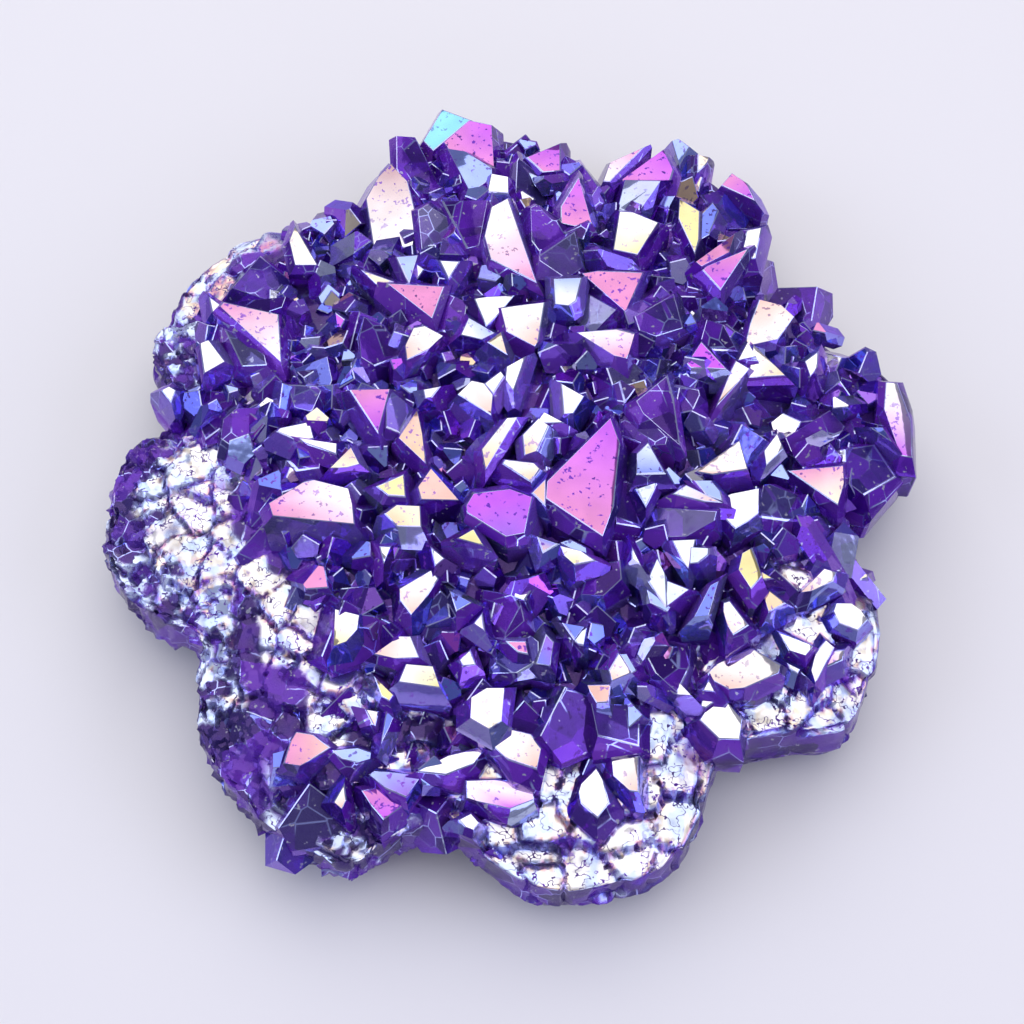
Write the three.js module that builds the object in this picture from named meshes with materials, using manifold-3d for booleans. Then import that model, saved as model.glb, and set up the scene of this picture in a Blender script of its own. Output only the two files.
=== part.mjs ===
// Angel aura amethyst flower: one slab of amethyst with petal-like lobes round its edge,
// covered on top by quartz crystals that have grown into each other. Millimetres, +Z up,
// with the origin in the middle of the flat base.

import * as THREE from 'three';
import { ConvexGeometry } from 'three/addons/geometries/ConvexGeometry.js';
import { mergeVertices } from 'three/addons/utils/BufferGeometryUtils.js';
import Module from 'manifold-3d';

// ---- Driving dimensions ----------------------------------------------------------------

// The petals, one row each, from one notch to the next: [direction in degrees, distance
// from the middle]. Direction 0 is +X and 90 is +Y.
const PETALS = [
  [[-12, 30.9], [-6, 32.5], [-1, 35.0], [6, 37.0], [14, 37.0], [19, 35.6], [22, 33.4], [32, 32.2]],
  [[39, 31.0], [45, 34.2], [50, 37.0], [57, 39.2], [64, 39.6], [69, 37.4]],
  [[74, 33.0], [82, 36.4], [88, 38.6], [95, 39.6], [103, 39.0], [110, 36.4], [118, 31.4]],
  [[122, 31.0], [128, 34.0], [134, 36.6], [144, 37.2], [152, 36.6], [160, 35.6], [166, 32.1]],
  [[172, 31.3], [176, 34.1], [184, 35.9], [191, 36.3], [199, 35.5], [206, 33.5]],
  [[213, 31.3], [220, 34.1], [227, 36.4], [234, 37.3], [242, 37.9], [250, 37.9], [254, 35.5]],
  [[260, 32.8], [264, 33.9], [269, 36.2], [275, 37.8], [282, 38.0], [289, 37.9], [295, 35.6]],
  [[302, 32.0], [307, 32.4], [313, 34.2], [319, 36.9], [326, 36.4], [334, 35.3], [340, 33.2]],
];
const OUTLINE_STEPS = 64;

// The crystal tips lie on a low dome, and the crust that they grow from lies under it.
const DOME_TOP = 18.0;
const DOME_FALL = 7.5;
const DOME_RADIUS = 35.0;
const DOME_FALL_LIMIT = 1.25;
const CRUST_DEPTH = 2.6;

// The side wall, from the flat cut up to the shoulder: height and how far it is drawn in.
const WALL = [
  { height: 0.0, inset: 3.2 },
  { height: 2.4, inset: 0.9 },
  { height: 4.8, inset: 0.0 },
  { height: 6.6, inset: 0.5 },
];
const SHOULDER_INSET = 1.8;
const CRUST_RINGS = [0.74, 0.38];

// The crust sinks towards each notch, so that every petal is rounded by itself.
const PETAL_RADIUS = 35.6;
const NOTCH_RADIUS = 31.0;
const NOTCH_SINK = 2.4;

// Quartz: the tip faces stand at this angle to the crystal's long axis.
const TIP_FACE_ANGLE = 51.8;
const TIP_FACE_WOBBLE = 3;
const TIP_FACE_SWING = [-14, 4];
// Only crystals over this radius show the three small tip faces, cut this far from the tip.
const MINOR_FACE_RADIUS = 3.2;
const MINOR_FACE_SHIFT = [0.1, 0.34];
// The sides in radii: the one below the level face, its two neighbours, and the rest, which
// lie mostly inside other crystals. Crystals that stand up have all sides like the rest.
const FIRST_SIDE = [0.7, 1.1];
const NEAR_SIDES = [0.95, 1.5];
const OTHER_SIDES = [1.2, 1.5];
const STANDING_LEAN = 30;
const ROOT_COVER = 1.4;
const ROOT_MARGIN = 1.15;
const SHORTEST_CRYSTAL = 1.5;
// Tips stand up to this much over or under the dome.
const TIP_SCATTER = 0.5;

// Hand-placed crystals: [tip x, tip y, radius, heading, lean, spin]. The heading is the
// direction in the plan that the long axis leans to, and the lean is its angle from
// upright, both in degrees. A lean near 52 lays one tip face level. The spin turns the
// crystal on its long axis, and is 0 where it isn't given.
const CRYSTALS = [
  // Back petals.
  [-2.2, 38.0, 3.4, 60, 40], [-7.2, 38.3, 2.8, 100, 46], [-3.5, 32.6, 3.2, 90, 26],
  [1.6, 37.4, 3.0, 80, 22], [-11.0, 34.6, 3.8, 100, 14], [-11.3, 29.6, 3.3, 90, 48],
  [-5.6, 25.0, 3.9, 95, 10],
  [3.6, 29.8, 2.4, 270, 50], [1.8, 29.2, 2.8, 90, 14, 20], [6.6, 27.4, 3.0, 80, 50],
  [13.5, 28.0, 3.3, 270, 50], [9.3, 31.0, 2.4, 200, 48], [16.6, 36.0, 2.8, 90, 18],
  [24.2, 28.6, 2.8, 305, 48], [5.6, 32.4, 2.4, 80, 24, 30], [12.4, 32.6, 2.2, 110, 20],
  [23.4, 22.2, 2.6, 40, 22], [28.2, 17.6, 2.4, 30, 24],
  // Upper middle.
  [-7.0, 10.2, 2.8, 285, 52], [2.3, 14.6, 3.6, 283, 50], [10.3, 11.2, 3.0, 280, 52],
  [6.2, 10.8, 2.0, 285, 50], [-1.7, 9.4, 2.2, 265, 52], [2.4, 7.0, 2.4, 280, 52],
  [9.8, 5.4, 2.9, 285, 52], [11.5, 19.3, 2.6, 280, 50], [17.0, 19.6, 2.6, 285, 48],
  [19.0, 15.2, 4.0, 285, 36], [16.6, 8.6, 2.4, 100, 48], [22.0, 9.5, 2.8, 250, 50],
  [24.0, 5.2, 2.6, 300, 50], [6.4, 19.4, 3.0, 90, 16, 20], [-1.0, 20.0, 3.2, 100, 14],
  [13.4, 14.6, 2.6, 80, 24, 30], [-12.4, 19.4, 2.6, 100, 22, 20], [26.6, 12.0, 2.4, 350, 30],
  // Upper left.
  [-19.6, 7.8, 3.3, 290, 52], [-22.0, 20.2, 3.6, 100, 15], [-25.8, 19.2, 2.2, 120, 25],
  [-20.3, 24.2, 2.3, 100, 45], [-16.6, 17.0, 2.0, 95, 45], [-16.2, 25.5, 2.4, 110, 20],
  [-13.0, 11.4, 2.8, 95, 16, 30], [-26.0, 12.4, 3.0, 120, 18], [-12.0, 24.6, 2.0, 95, 28],
  // Left.
  [-26.5, 4.6, 3.8, 110, 12], [-21.5, 2.5, 3.6, 60, 12], [-17.5, 4.2, 2.2, 90, 15],
  [-14.6, -2.6, 2.4, 320, 50], [-15.3, -5.2, 4.2, 90, 47], [-8.7, 5.2, 2.2, 230, 50],
  [-12.4, 3.6, 2.2, 95, 14, 20], [-19.6, -7.4, 2.8, 100, 20], [-10.0, -7.4, 2.2, 90, 12, 30],
  [-16.8, -12.8, 2.0, 100, 14, 20],
  // Middle.
  [-11.0, -1.3, 2.5, 275, 52], [-1.6, 0.0, 2.4, 290, 52], [-7.6, -0.4, 3.0, 100, 30, 30],
  [-6.4, -5.0, 2.3, 92, 50], [-8.4, -10.2, 2.0, 270, 50], [0.0, -11.6, 3.2, 290, 50],
  [0.6, -0.4, 2.4, 60, 45],
  // Right.
  [8.6, 0.0, 5.5, 80, 47], [12.2, -2.5, 2.4, 90, 30], [15.3, -7.9, 3.4, 270, 50],
  [18.5, -9.4, 2.3, 260, 50], [17.6, -4.6, 2.6, 275, 52], [13.5, 3.8, 3.6, 60, 20],
  [27.5, 2.3, 3.2, 45, 25], [27.0, -6.6, 4.2, 285, 50], [26.8, -10.6, 2.6, 280, 50],
  [12.2, -16.8, 2.2, 270, 50], [31.4, 0.6, 3.4, 20, 24, 30],
  // Lower left.
  [-14.0, -26.5, 2.2, 350, 48], [-13.0, -16.0, 2.6, 90, 22, 24], [-5.4, -23.0, 2.1, 320, 50],
  [-6.6, -24.0, 3.0, 90, 12, 30], [-9.8, -32.2, 3.2, 272, 46], [-7.5, -17.4, 2.3, 235, 50],
  [-5.4, -15.4, 2.6, 90, 16], [-15.6, -29.2, 2.6, 100, 20], [-5.6, -31.6, 2.6, 280, 30],
  [-17.2, -31.2, 2.2, 110, 18, 20],
  // Lower middle.
  [-1.8, -26.0, 2.2, 265, 50], [4.4, -23.0, 2.8, 90, 26, 30],
  // Lower right.
  [18.7, -22.2, 3.6, 268, 52], [12.6, -18.0, 3.3, 90, 24], [10.6, -20.6, 2.3, 90, 20],
  [28.4, -17.0, 2.0, 270, 48],
];

// Crystals that fill the gaps between the ones above, kept this many radii apart.
const FILL_TRIES = 4000;
const FILL_COUNT = 16;
const FILL_RADIUS = [2.0, 2.8];
const FILL_SINK = [0.9, 1.6];
const FILL_LEAN = [8, 40];
const FILL_REACH = 30.5;
const FILL_SPACING = 0.86;

// Rough plates of crust on the petals, as arcs: directions in degrees, and where the plates
// start and end as shares of the distance to the outline.
const CRUST_ARCS = [
  { from: 263, to: 304, inner: 0.78, outer: 0.93, count: 15 },
  { from: 306, to: 334, inner: 0.86, outer: 0.93, count: 7 },
  { from: 177, to: 210, inner: 0.72, outer: 0.93, count: 9 },
  { from: 216, to: 246, inner: 0.68, outer: 0.92, count: 10 },
  { from: 132, to: 164, inner: 0.86, outer: 0.93, count: 5 },
];
const PLATE_RADIUS = [2.2, 3.4];
const PLATE_FLATNESS = 0.42;
const PLATE_CORNERS = 9;
const PLATE_RISE = [0.2, 0.9];
const PLATE_SPACING = 2.6;

// Shorter edges than this, left where crystals cross, are closed up.
const SHORTEST_EDGE = 0.004;

const AMETHYST = new THREE.MeshStandardMaterial({
  color: 0x5b2aa8,
  roughness: 0.12,
  metalness: 0.1,
});

// ---- Shared helpers ----------------------------------------------------------------------

const wasm = await Module();
wasm.setup();

// A small repeatable source of numbers from 0 to 1.
function makeRandom(seed) {
  let state = seed;
  return () => {
    state = (state + 0x6d2b79f5) | 0;
    let mixed = Math.imul(state ^ (state >>> 15), 1 | state);
    mixed = (mixed + Math.imul(mixed ^ (mixed >>> 7), 61 | mixed)) ^ mixed;
    return ((mixed ^ (mixed >>> 14)) >>> 0) / 4294967296;
  };
}

function between([low, high], random) {
  return low + (high - low) * random();
}

// The height of the crystal tips over a place in the plan, and of the crust below them.
function tipHeight(x, y) {
  const spread = (x * x + y * y) / (DOME_RADIUS * DOME_RADIUS);
  return DOME_TOP - DOME_FALL * Math.min(spread, DOME_FALL_LIMIT);
}

function solidFromGeometry(geometry) {
  geometry.deleteAttribute('normal');
  geometry.deleteAttribute('uv');
  const merged = mergeVertices(geometry, 1e-4);
  return new wasm.Manifold(new wasm.Mesh({
    numProp: 3,
    vertProperties: new Float32Array(merged.attributes.position.array),
    triVerts: new Uint32Array(merged.index.array),
  }));
}

function geometryFromSolid(solid) {
  const mesh = solid.getMesh();
  const geometry = new THREE.BufferGeometry();
  geometry.setAttribute('position', new THREE.BufferAttribute(mesh.vertProperties, 3));
  geometry.setIndex(closeShortEdges(mesh));
  return geometry;
}

// Where three crystals nearly meet in a point, the edge between the meetings is closed up.
// The faces that this folds flat are left out. The result is the list of corner numbers.
function closeShortEdges({ vertProperties, triVerts }) {
  const corner = (index) => new THREE.Vector3().fromArray(vertProperties, 3 * index);
  const joined = new Map();
  const last = (index) => (joined.has(index) ? last(joined.get(index)) : index);
  for (let index = 0; index < triVerts.length; index += 1) {
    const next = index % 3 === 2 ? index - 2 : index + 1;
    const [from, to] = [last(triVerts[index]), last(triVerts[next])];
    if (from !== to && corner(triVerts[index]).distanceTo(corner(triVerts[next])) < SHORTEST_EDGE) {
      joined.set(from, to);
    }
  }
  const faces = [];
  for (let index = 0; index < triVerts.length; index += 3) {
    const face = [0, 1, 2].map((step) => last(triVerts[index + step]));
    if (new Set(face).size === 3) {
      faces.push(...face);
    }
  }
  return faces;
}

// The crystals' roots can close off small gaps inside. Their shells have a negative volume,
// so the shell with the largest volume is the outside, and the gaps are left filled.
function outerShell(solid) {
  const shells = solid.decompose();
  shells.sort((a, b) => b.volume() - a.volume());
  return shells[0];
}

// ---- The slab and its petals -------------------------------------------------------------

const OUTLINE = new THREE.CatmullRomCurve3(
  PETALS.flat().map(([direction, distance]) => {
    const angle = THREE.MathUtils.degToRad(direction);
    return new THREE.Vector3(distance * Math.cos(angle), distance * Math.sin(angle), 0);
  }),
  true,
  'catmullrom',
  0.5,
).getPoints(OUTLINE_STEPS);

// The distance from the middle to the outline in a direction, both in the plan.
function outlineRadius(x, y) {
  let best = OUTLINE[0];
  let bestTurn = -Infinity;
  for (const point of OUTLINE) {
    const turn = (point.x * x + point.y * y) / point.length();
    if (turn > bestTurn) {
      best = point;
      bestTurn = turn;
    }
  }
  return best.length();
}

// A turned blank, whose rings are then pushed out to the petalled outline.
function makeSlab() {
  const rows = [
    { share: 0, inset: 0, height: WALL[0].height },
    ...WALL.map(({ height, inset }) => ({ share: 1, inset, height })),
    { share: 1, inset: SHOULDER_INSET },
    ...CRUST_RINGS.map((share) => ({ share, inset: 0 })),
    { share: 0, inset: 0 },
  ];
  const blank = rows.map(({ share, height = DOME_TOP }) => new THREE.Vector2(share, height));
  const geometry = new THREE.LatheGeometry(blank, OUTLINE_STEPS);
  const position = geometry.attributes.position;
  for (let index = 0; index < position.count; index += 1) {
    const { share, inset, height } = rows[index % rows.length];
    const edge = OUTLINE[Math.floor(index / rows.length) % OUTLINE_STEPS];
    const reach = Math.max(0, edge.length() * share - inset);
    const x = (edge.x / edge.length()) * reach;
    const y = (edge.y / edge.length()) * reach;
    const notch = THREE.MathUtils.smoothstep(-edge.length(), -PETAL_RADIUS, -NOTCH_RADIUS);
    const sink = NOTCH_SINK * notch * (reach / edge.length()) ** 4;
    const z = height === undefined ? tipHeight(x, y) - CRUST_DEPTH - sink : height;
    position.setXYZ(index, x, y, z);
  }
  return solidFromGeometry(geometry);
}

// ---- Crystals ----------------------------------------------------------------------------

// The corners of the space that lies behind every plane: each three planes meet in a
// point, which is kept where no other plane cuts it off.
function cornersBehind(planes) {
  const corners = [];
  const meeting = new THREE.Matrix3();
  for (let a = 0; a < planes.length; a += 1) {
    for (let b = a + 1; b < planes.length; b += 1) {
      for (let c = b + 1; c < planes.length; c += 1) {
        const [first, second, third] = [planes[a], planes[b], planes[c]];
        meeting.set(...first.normal, ...second.normal, ...third.normal);
        if (Math.abs(meeting.determinant()) < 1e-6) {
          continue;
        }
        const point = new THREE.Vector3(first.offset, second.offset, third.offset)
          .applyMatrix3(meeting.invert());
        const inside = planes.every(({ normal, offset }) => normal.dot(point) < offset + 1e-6);
        const isNew = corners.every((corner) => corner.distanceTo(point) > 1e-3);
        if (inside && isNew) {
          corners.push(point);
        }
      }
    }
  }
  return corners;
}

// A direction at an angle from +Z, turned round it by another. Both are in degrees.
function slanted(angle, around) {
  const polar = THREE.MathUtils.degToRad(angle);
  const turn = THREE.MathUtils.degToRad(around);
  return new THREE.Vector3(
    Math.sin(polar) * Math.cos(turn),
    Math.sin(polar) * Math.sin(turn),
    Math.cos(polar),
  );
}

function sideSpread(side, isStanding) {
  if (isStanding) {
    return OTHER_SIDES;
  }
  if (side === 0) {
    return FIRST_SIDE;
  }
  return side === 1 || side === 5 ? NEAR_SIDES : OTHER_SIDES;
}

// A quartz crystal with its tip at the origin and its long axis along +Z: three large tip
// faces, three small ones between them on a big crystal, six sides and a flat root.
function crystalCorners(radius, length, isStanding, random) {
  const planes = [{ normal: new THREE.Vector3(0, 0, -1), offset: length }];
  for (let side = 0; side < 6; side += 1) {
    const around = 60 * side;
    const spread = between(sideSpread(side, isStanding), random);
    planes.push({ normal: slanted(90, around), offset: spread * radius });
    const wobble = TIP_FACE_WOBBLE * (2 * random() - 1);
    const swing = between(TIP_FACE_SWING, random) * Math.sign(180 - around);
    if (side === 0) {
      planes.push({ normal: slanted(TIP_FACE_ANGLE, 0), offset: 0 });
    } else if (side % 2 === 0) {
      planes.push({ normal: slanted(TIP_FACE_ANGLE + wobble, around + swing), offset: 0 });
    } else if (radius > MINOR_FACE_RADIUS) {
      const shift = between(MINOR_FACE_SHIFT, random) * radius;
      planes.push({ normal: slanted(TIP_FACE_ANGLE, around), offset: shift });
    }
  }
  return cornersBehind(planes);
}

// The long axis points along the heading, and one large tip face looks back from it.
function crystalTurn(heading, lean, spin) {
  const turn = THREE.MathUtils.degToRad(heading);
  const tilt = THREE.MathUtils.degToRad(lean);
  const forwards = new THREE.Vector3(Math.cos(turn), Math.sin(turn), 0);
  const axis = forwards.clone().multiplyScalar(Math.sin(tilt)).setZ(Math.cos(tilt));
  const face = forwards.clone().multiplyScalar(-Math.cos(tilt)).setZ(Math.sin(tilt));
  const across = axis.clone().cross(face);
  const spinTurn = new THREE.Matrix4().makeRotationZ(THREE.MathUtils.degToRad(spin));
  return new THREE.Matrix4().makeBasis(face, across, axis).multiply(spinTurn);
}

// The root goes down into the crust, and stays this many radii inside the side wall.
function rootLength(x, y, radius, axis, depth) {
  let length = (depth + ROOT_COVER) / axis.z;
  for (let step = 0; step < 12; step += 1) {
    const rootX = x - axis.x * length;
    const rootY = y - axis.y * length;
    const room = outlineRadius(rootX, rootY) - ROOT_MARGIN * radius;
    if (Math.hypot(rootX, rootY) < room) {
      break;
    }
    length *= 0.85;
  }
  return Math.max(length, SHORTEST_CRYSTAL * radius);
}

function makeCrystal([x, y, radius, heading, lean, spin = 0], sink, random) {
  const turn = crystalTurn(heading, lean, spin);
  const axis = new THREE.Vector3().setFromMatrixColumn(turn, 2);
  const length = rootLength(x, y, radius, axis, CRUST_DEPTH - sink);
  turn.setPosition(x, y, tipHeight(x, y) - sink);
  const corners = crystalCorners(radius, length, lean < STANDING_LEAN, random);
  const geometry = new ConvexGeometry(corners.map((corner) => corner.applyMatrix4(turn)));
  return solidFromGeometry(geometry);
}

function makeHandPlacedCrystals() {
  const random = makeRandom(11);
  return CRYSTALS.map((crystal) => {
    const sink = between([-TIP_SCATTER, TIP_SCATTER], random);
    return makeCrystal(crystal, sink, random);
  });
}

// The middle of a crystal's top in the plan, which lies behind the tip of a leaning one.
function crystalMiddle([x, y, radius, heading, lean]) {
  const back = 0.8 * radius * Math.sin(THREE.MathUtils.degToRad(lean));
  const turn = THREE.MathUtils.degToRad(heading);
  return { x: x - back * Math.cos(turn), y: y - back * Math.sin(turn), radius };
}

// Random places are kept where they are clear of the crystals that are already there.
function makeFillCrystals() {
  const random = makeRandom(29);
  const taken = CRYSTALS.map(crystalMiddle);
  const crystals = [];
  for (let tries = 0; tries < FILL_TRIES && crystals.length < FILL_COUNT; tries += 1) {
    const distance = FILL_REACH * Math.sqrt(random());
    const direction = 2 * Math.PI * random();
    const radius = between(FILL_RADIUS, random);
    const heading = 360 * random();
    const lean = between(FILL_LEAN, random);
    const spin = 60 * random();
    const sink = between(FILL_SINK, random);
    const crystal = [
      distance * Math.cos(direction),
      distance * Math.sin(direction),
      radius,
      heading,
      lean,
      spin,
    ];
    const middle = crystalMiddle(crystal);
    const isClear = taken.every((other) => {
      const gap = Math.hypot(other.x - middle.x, other.y - middle.y);
      return gap > FILL_SPACING * (other.radius + radius);
    });
    if (isClear) {
      taken.push(middle);
      crystals.push(makeCrystal(crystal, sink, random));
    }
  }
  return crystals;
}

// ---- Crust plates on the petals ------------------------------------------------------------

// A flat, many-cornered lump that is half sunk in the crust.
function makePlate(x, y, radius, random) {
  const corners = [];
  for (let index = 0; index < PLATE_CORNERS; index += 1) {
    const level = 1 - (2 * (index + 0.5)) / PLATE_CORNERS;
    const around = index * 2.4 + 0.8 * random();
    const ring = Math.sqrt(1 - level * level) * radius * (0.85 + 0.3 * random());
    const height = level * radius * PLATE_FLATNESS * (0.8 + 0.4 * random());
    corners.push(new THREE.Vector3(ring * Math.cos(around), ring * Math.sin(around), height));
  }
  const sunk = tipHeight(x, y) - CRUST_DEPTH - radius * PLATE_FLATNESS * 0.4;
  const geometry = new ConvexGeometry(corners);
  geometry.rotateX(0.5 * (random() - 0.5));
  geometry.rotateY(0.5 * (random() - 0.5));
  geometry.translate(x, y, sunk + between(PLATE_RISE, random));
  return solidFromGeometry(geometry);
}

function makePlates() {
  const random = makeRandom(47);
  const places = [];
  const plates = [];
  for (const { from, to, inner, outer, count } of CRUST_ARCS) {
    let made = 0;
    for (let tries = 0; tries < count * 30 && made < count; tries += 1) {
      const direction = THREE.MathUtils.degToRad(between([from, to], random));
      const place = new THREE.Vector2(Math.cos(direction), Math.sin(direction));
      place.multiplyScalar(outlineRadius(place.x, place.y) * between([inner, outer], random));
      const isClear = places.every((other) => other.distanceTo(place) > PLATE_SPACING);
      if (isClear) {
        places.push(place);
        plates.push(makePlate(place.x, place.y, between(PLATE_RADIUS, random), random));
        made += 1;
      }
    }
  }
  return plates;
}

// ---- The whole flower ----------------------------------------------------------------------

function makeFlower() {
  const parts = [...makeHandPlacedCrystals(), ...makeFillCrystals(), ...makePlates()];
  let solid = makeSlab();
  for (const part of parts) {
    solid = solid.add(part);
  }
  const geometry = geometryFromSolid(outerShell(solid));
  geometry.computeBoundingBox();
  const { min, max } = geometry.boundingBox;
  geometry.translate(-(min.x + max.x) / 2, -(min.y + max.y) / 2, -min.z);
  const mesh = new THREE.Mesh(geometry, AMETHYST);
  mesh.name = 'amethyst_flower';
  return mesh;
}

const flower = new THREE.Group();
flower.add(makeFlower());

export default flower;
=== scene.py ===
"""The looks of an angel aura amethyst flower: quartz crystals and foil-like crust plates on a
petalled slab, with a thin metal coat that flashes white, gold, pink and blue. The shapes are
made in millimetres in the plan of the CAD source, and moved into the frame, in metres, at the
end."""

import math

import bmesh
import bpy
import numpy as np
from mathutils import Matrix, Vector, geometry
from mathutils.bvhtree import BVHTree


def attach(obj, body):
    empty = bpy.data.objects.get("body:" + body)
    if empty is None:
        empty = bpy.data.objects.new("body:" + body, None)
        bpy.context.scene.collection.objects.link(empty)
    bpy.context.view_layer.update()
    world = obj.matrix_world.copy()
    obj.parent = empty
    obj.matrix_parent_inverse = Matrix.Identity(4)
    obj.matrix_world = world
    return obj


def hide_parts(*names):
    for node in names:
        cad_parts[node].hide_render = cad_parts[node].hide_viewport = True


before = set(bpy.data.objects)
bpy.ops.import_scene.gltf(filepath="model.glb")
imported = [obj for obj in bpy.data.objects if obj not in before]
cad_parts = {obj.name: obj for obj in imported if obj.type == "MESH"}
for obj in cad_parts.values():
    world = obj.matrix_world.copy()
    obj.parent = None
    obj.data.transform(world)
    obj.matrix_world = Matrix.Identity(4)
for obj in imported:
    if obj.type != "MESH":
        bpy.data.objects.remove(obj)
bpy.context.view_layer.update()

# ---- Sizes, in millimetres -----------------------------------------------------------------

MM = 0.001
# Differences that don't count: in a sum, and between two corners.
TINY = 1e-6
SAME_CORNER = 1e-3
# The shapes are drawn in a plan round the middle of the petals. The frame's origin is in the
# middle of the CAD box, so the plan is shifted by this much.
PLAN_SHIFT = (-0.3975, -1.2948, 0.0)

# The petals, from one notch to the next: [direction in degrees, distance from the middle].
PETALS = [
    [[-12, 30.9], [-6, 32.5], [-1, 35.0], [6, 37.0], [14, 37.0], [19, 35.6], [22, 33.4], [32, 32.2]],
    [[39, 31.0], [45, 34.2], [50, 37.0], [57, 39.2], [64, 39.6], [69, 37.4]],
    [[74, 33.0], [82, 36.4], [88, 38.6], [95, 39.6], [103, 39.0], [110, 36.4], [118, 31.4]],
    [[122, 31.0], [128, 34.0], [134, 36.6], [144, 37.2], [152, 36.6], [160, 35.6], [166, 32.1]],
    [[172, 31.3], [176, 34.1], [184, 35.9], [191, 36.3], [199, 35.5], [206, 33.5]],
    [[213, 31.3], [220, 34.1], [227, 36.4], [234, 37.3], [242, 37.9], [250, 37.9], [254, 35.5]],
    [[260, 32.8], [264, 33.9], [269, 36.2], [275, 37.8], [282, 38.0], [289, 37.9], [295, 35.6]],
    [[302, 32.0], [307, 32.4], [313, 34.2], [319, 36.9], [326, 36.4], [334, 35.3], [340, 33.2]],
]
OUTLINE_STEPS = 64
RIM_STEPS = 680
WALL_STEPS = 20
SHOULDER_STEPS = 8

DOME_TOP = 18.0
DOME_FALL = 7.5
DOME_RADIUS = 35.0
DOME_FALL_LIMIT = 1.25
CRUST_DEPTH = 2.6
WALL = [(0.0, 3.2), (2.4, 0.9), (4.8, 0.0), (6.6, 0.5)]
SHOULDER_INSET = 1.8
# Its rounding's corner: how far under the top's edge, and at least how far over the wall's.
SHOULDER_CORNER = (0.2, 0.3)
PETAL_RADIUS = 35.6
NOTCH_RADIUS = 31.0
NOTCH_SINK = 2.4
NOTCH_POWER = 4

TIP_FACE_ANGLE = 51.8
TIP_FACE_WOBBLE = 3
TIP_FACE_SWING = (-14, 4)
MINOR_FACE_RADIUS = 3.2
MINOR_FACE_SHIFT = (0.1, 0.34)
FIRST_SIDE = (0.7, 1.1)
NEAR_SIDES = (0.95, 1.5)
OTHER_SIDES = (1.2, 1.5)
STANDING_LEAN = 30
ROOT_COVER = 1.4
ROOT_MARGIN = 1.15
ROOT_TRIES = 12
ROOT_CUT = 0.85
SHORTEST_CRYSTAL = 1.5
TIP_SINK = (-0.5, 0.5)
# A leaning crystal's middle lies this many radii behind its tip.
MIDDLE_BACK = 0.8

FILL_TRIES = 4000
FILL_COUNT = 16
FILL_RADIUS = (2.0, 2.8)
FILL_SINK = (0.9, 1.6)
FILL_LEAN = (8, 40)
FILL_REACH = 30.5
FILL_SPACING = 0.86

# The camera: its distance, and in degrees its height and the angle that it sees.
CAMERA_DISTANCE = 137.0
CAMERA_ELEVATION = 62.0
CAMERA_ANGLE = 36.0

# Seeds of the random draws.
CAD_SEEDS = (11, 29)
FACET_SEED = 57
SMALL_SEED = 83
GRID_SEED = 7
FACE_SEED = 31

# The coat's colours, by letter, as shares of red, green and blue light that it sends back.
COATS = {
    "w": (0.92, 0.90, 0.88),
    "c": (0.88, 0.78, 0.58),
    "g": (0.74, 0.55, 0.36),
    "y": (0.80, 0.70, 0.34),
    "o": (0.74, 0.47, 0.41),
    "p": (0.64, 0.25, 0.47),
    "m": (0.50, 0.11, 0.76),
    "l": (0.30, 0.14, 0.62),
    "b": (0.17, 0.22, 0.72),
    "a": (0.36, 0.46, 0.92),
    "s": (0.68, 0.78, 0.98),
    "t": (0.26, 0.64, 0.84),
    "n": (0.45, 0.28, 0.30),
    "v": (0.12, 0.06, 0.42),
}

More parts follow.
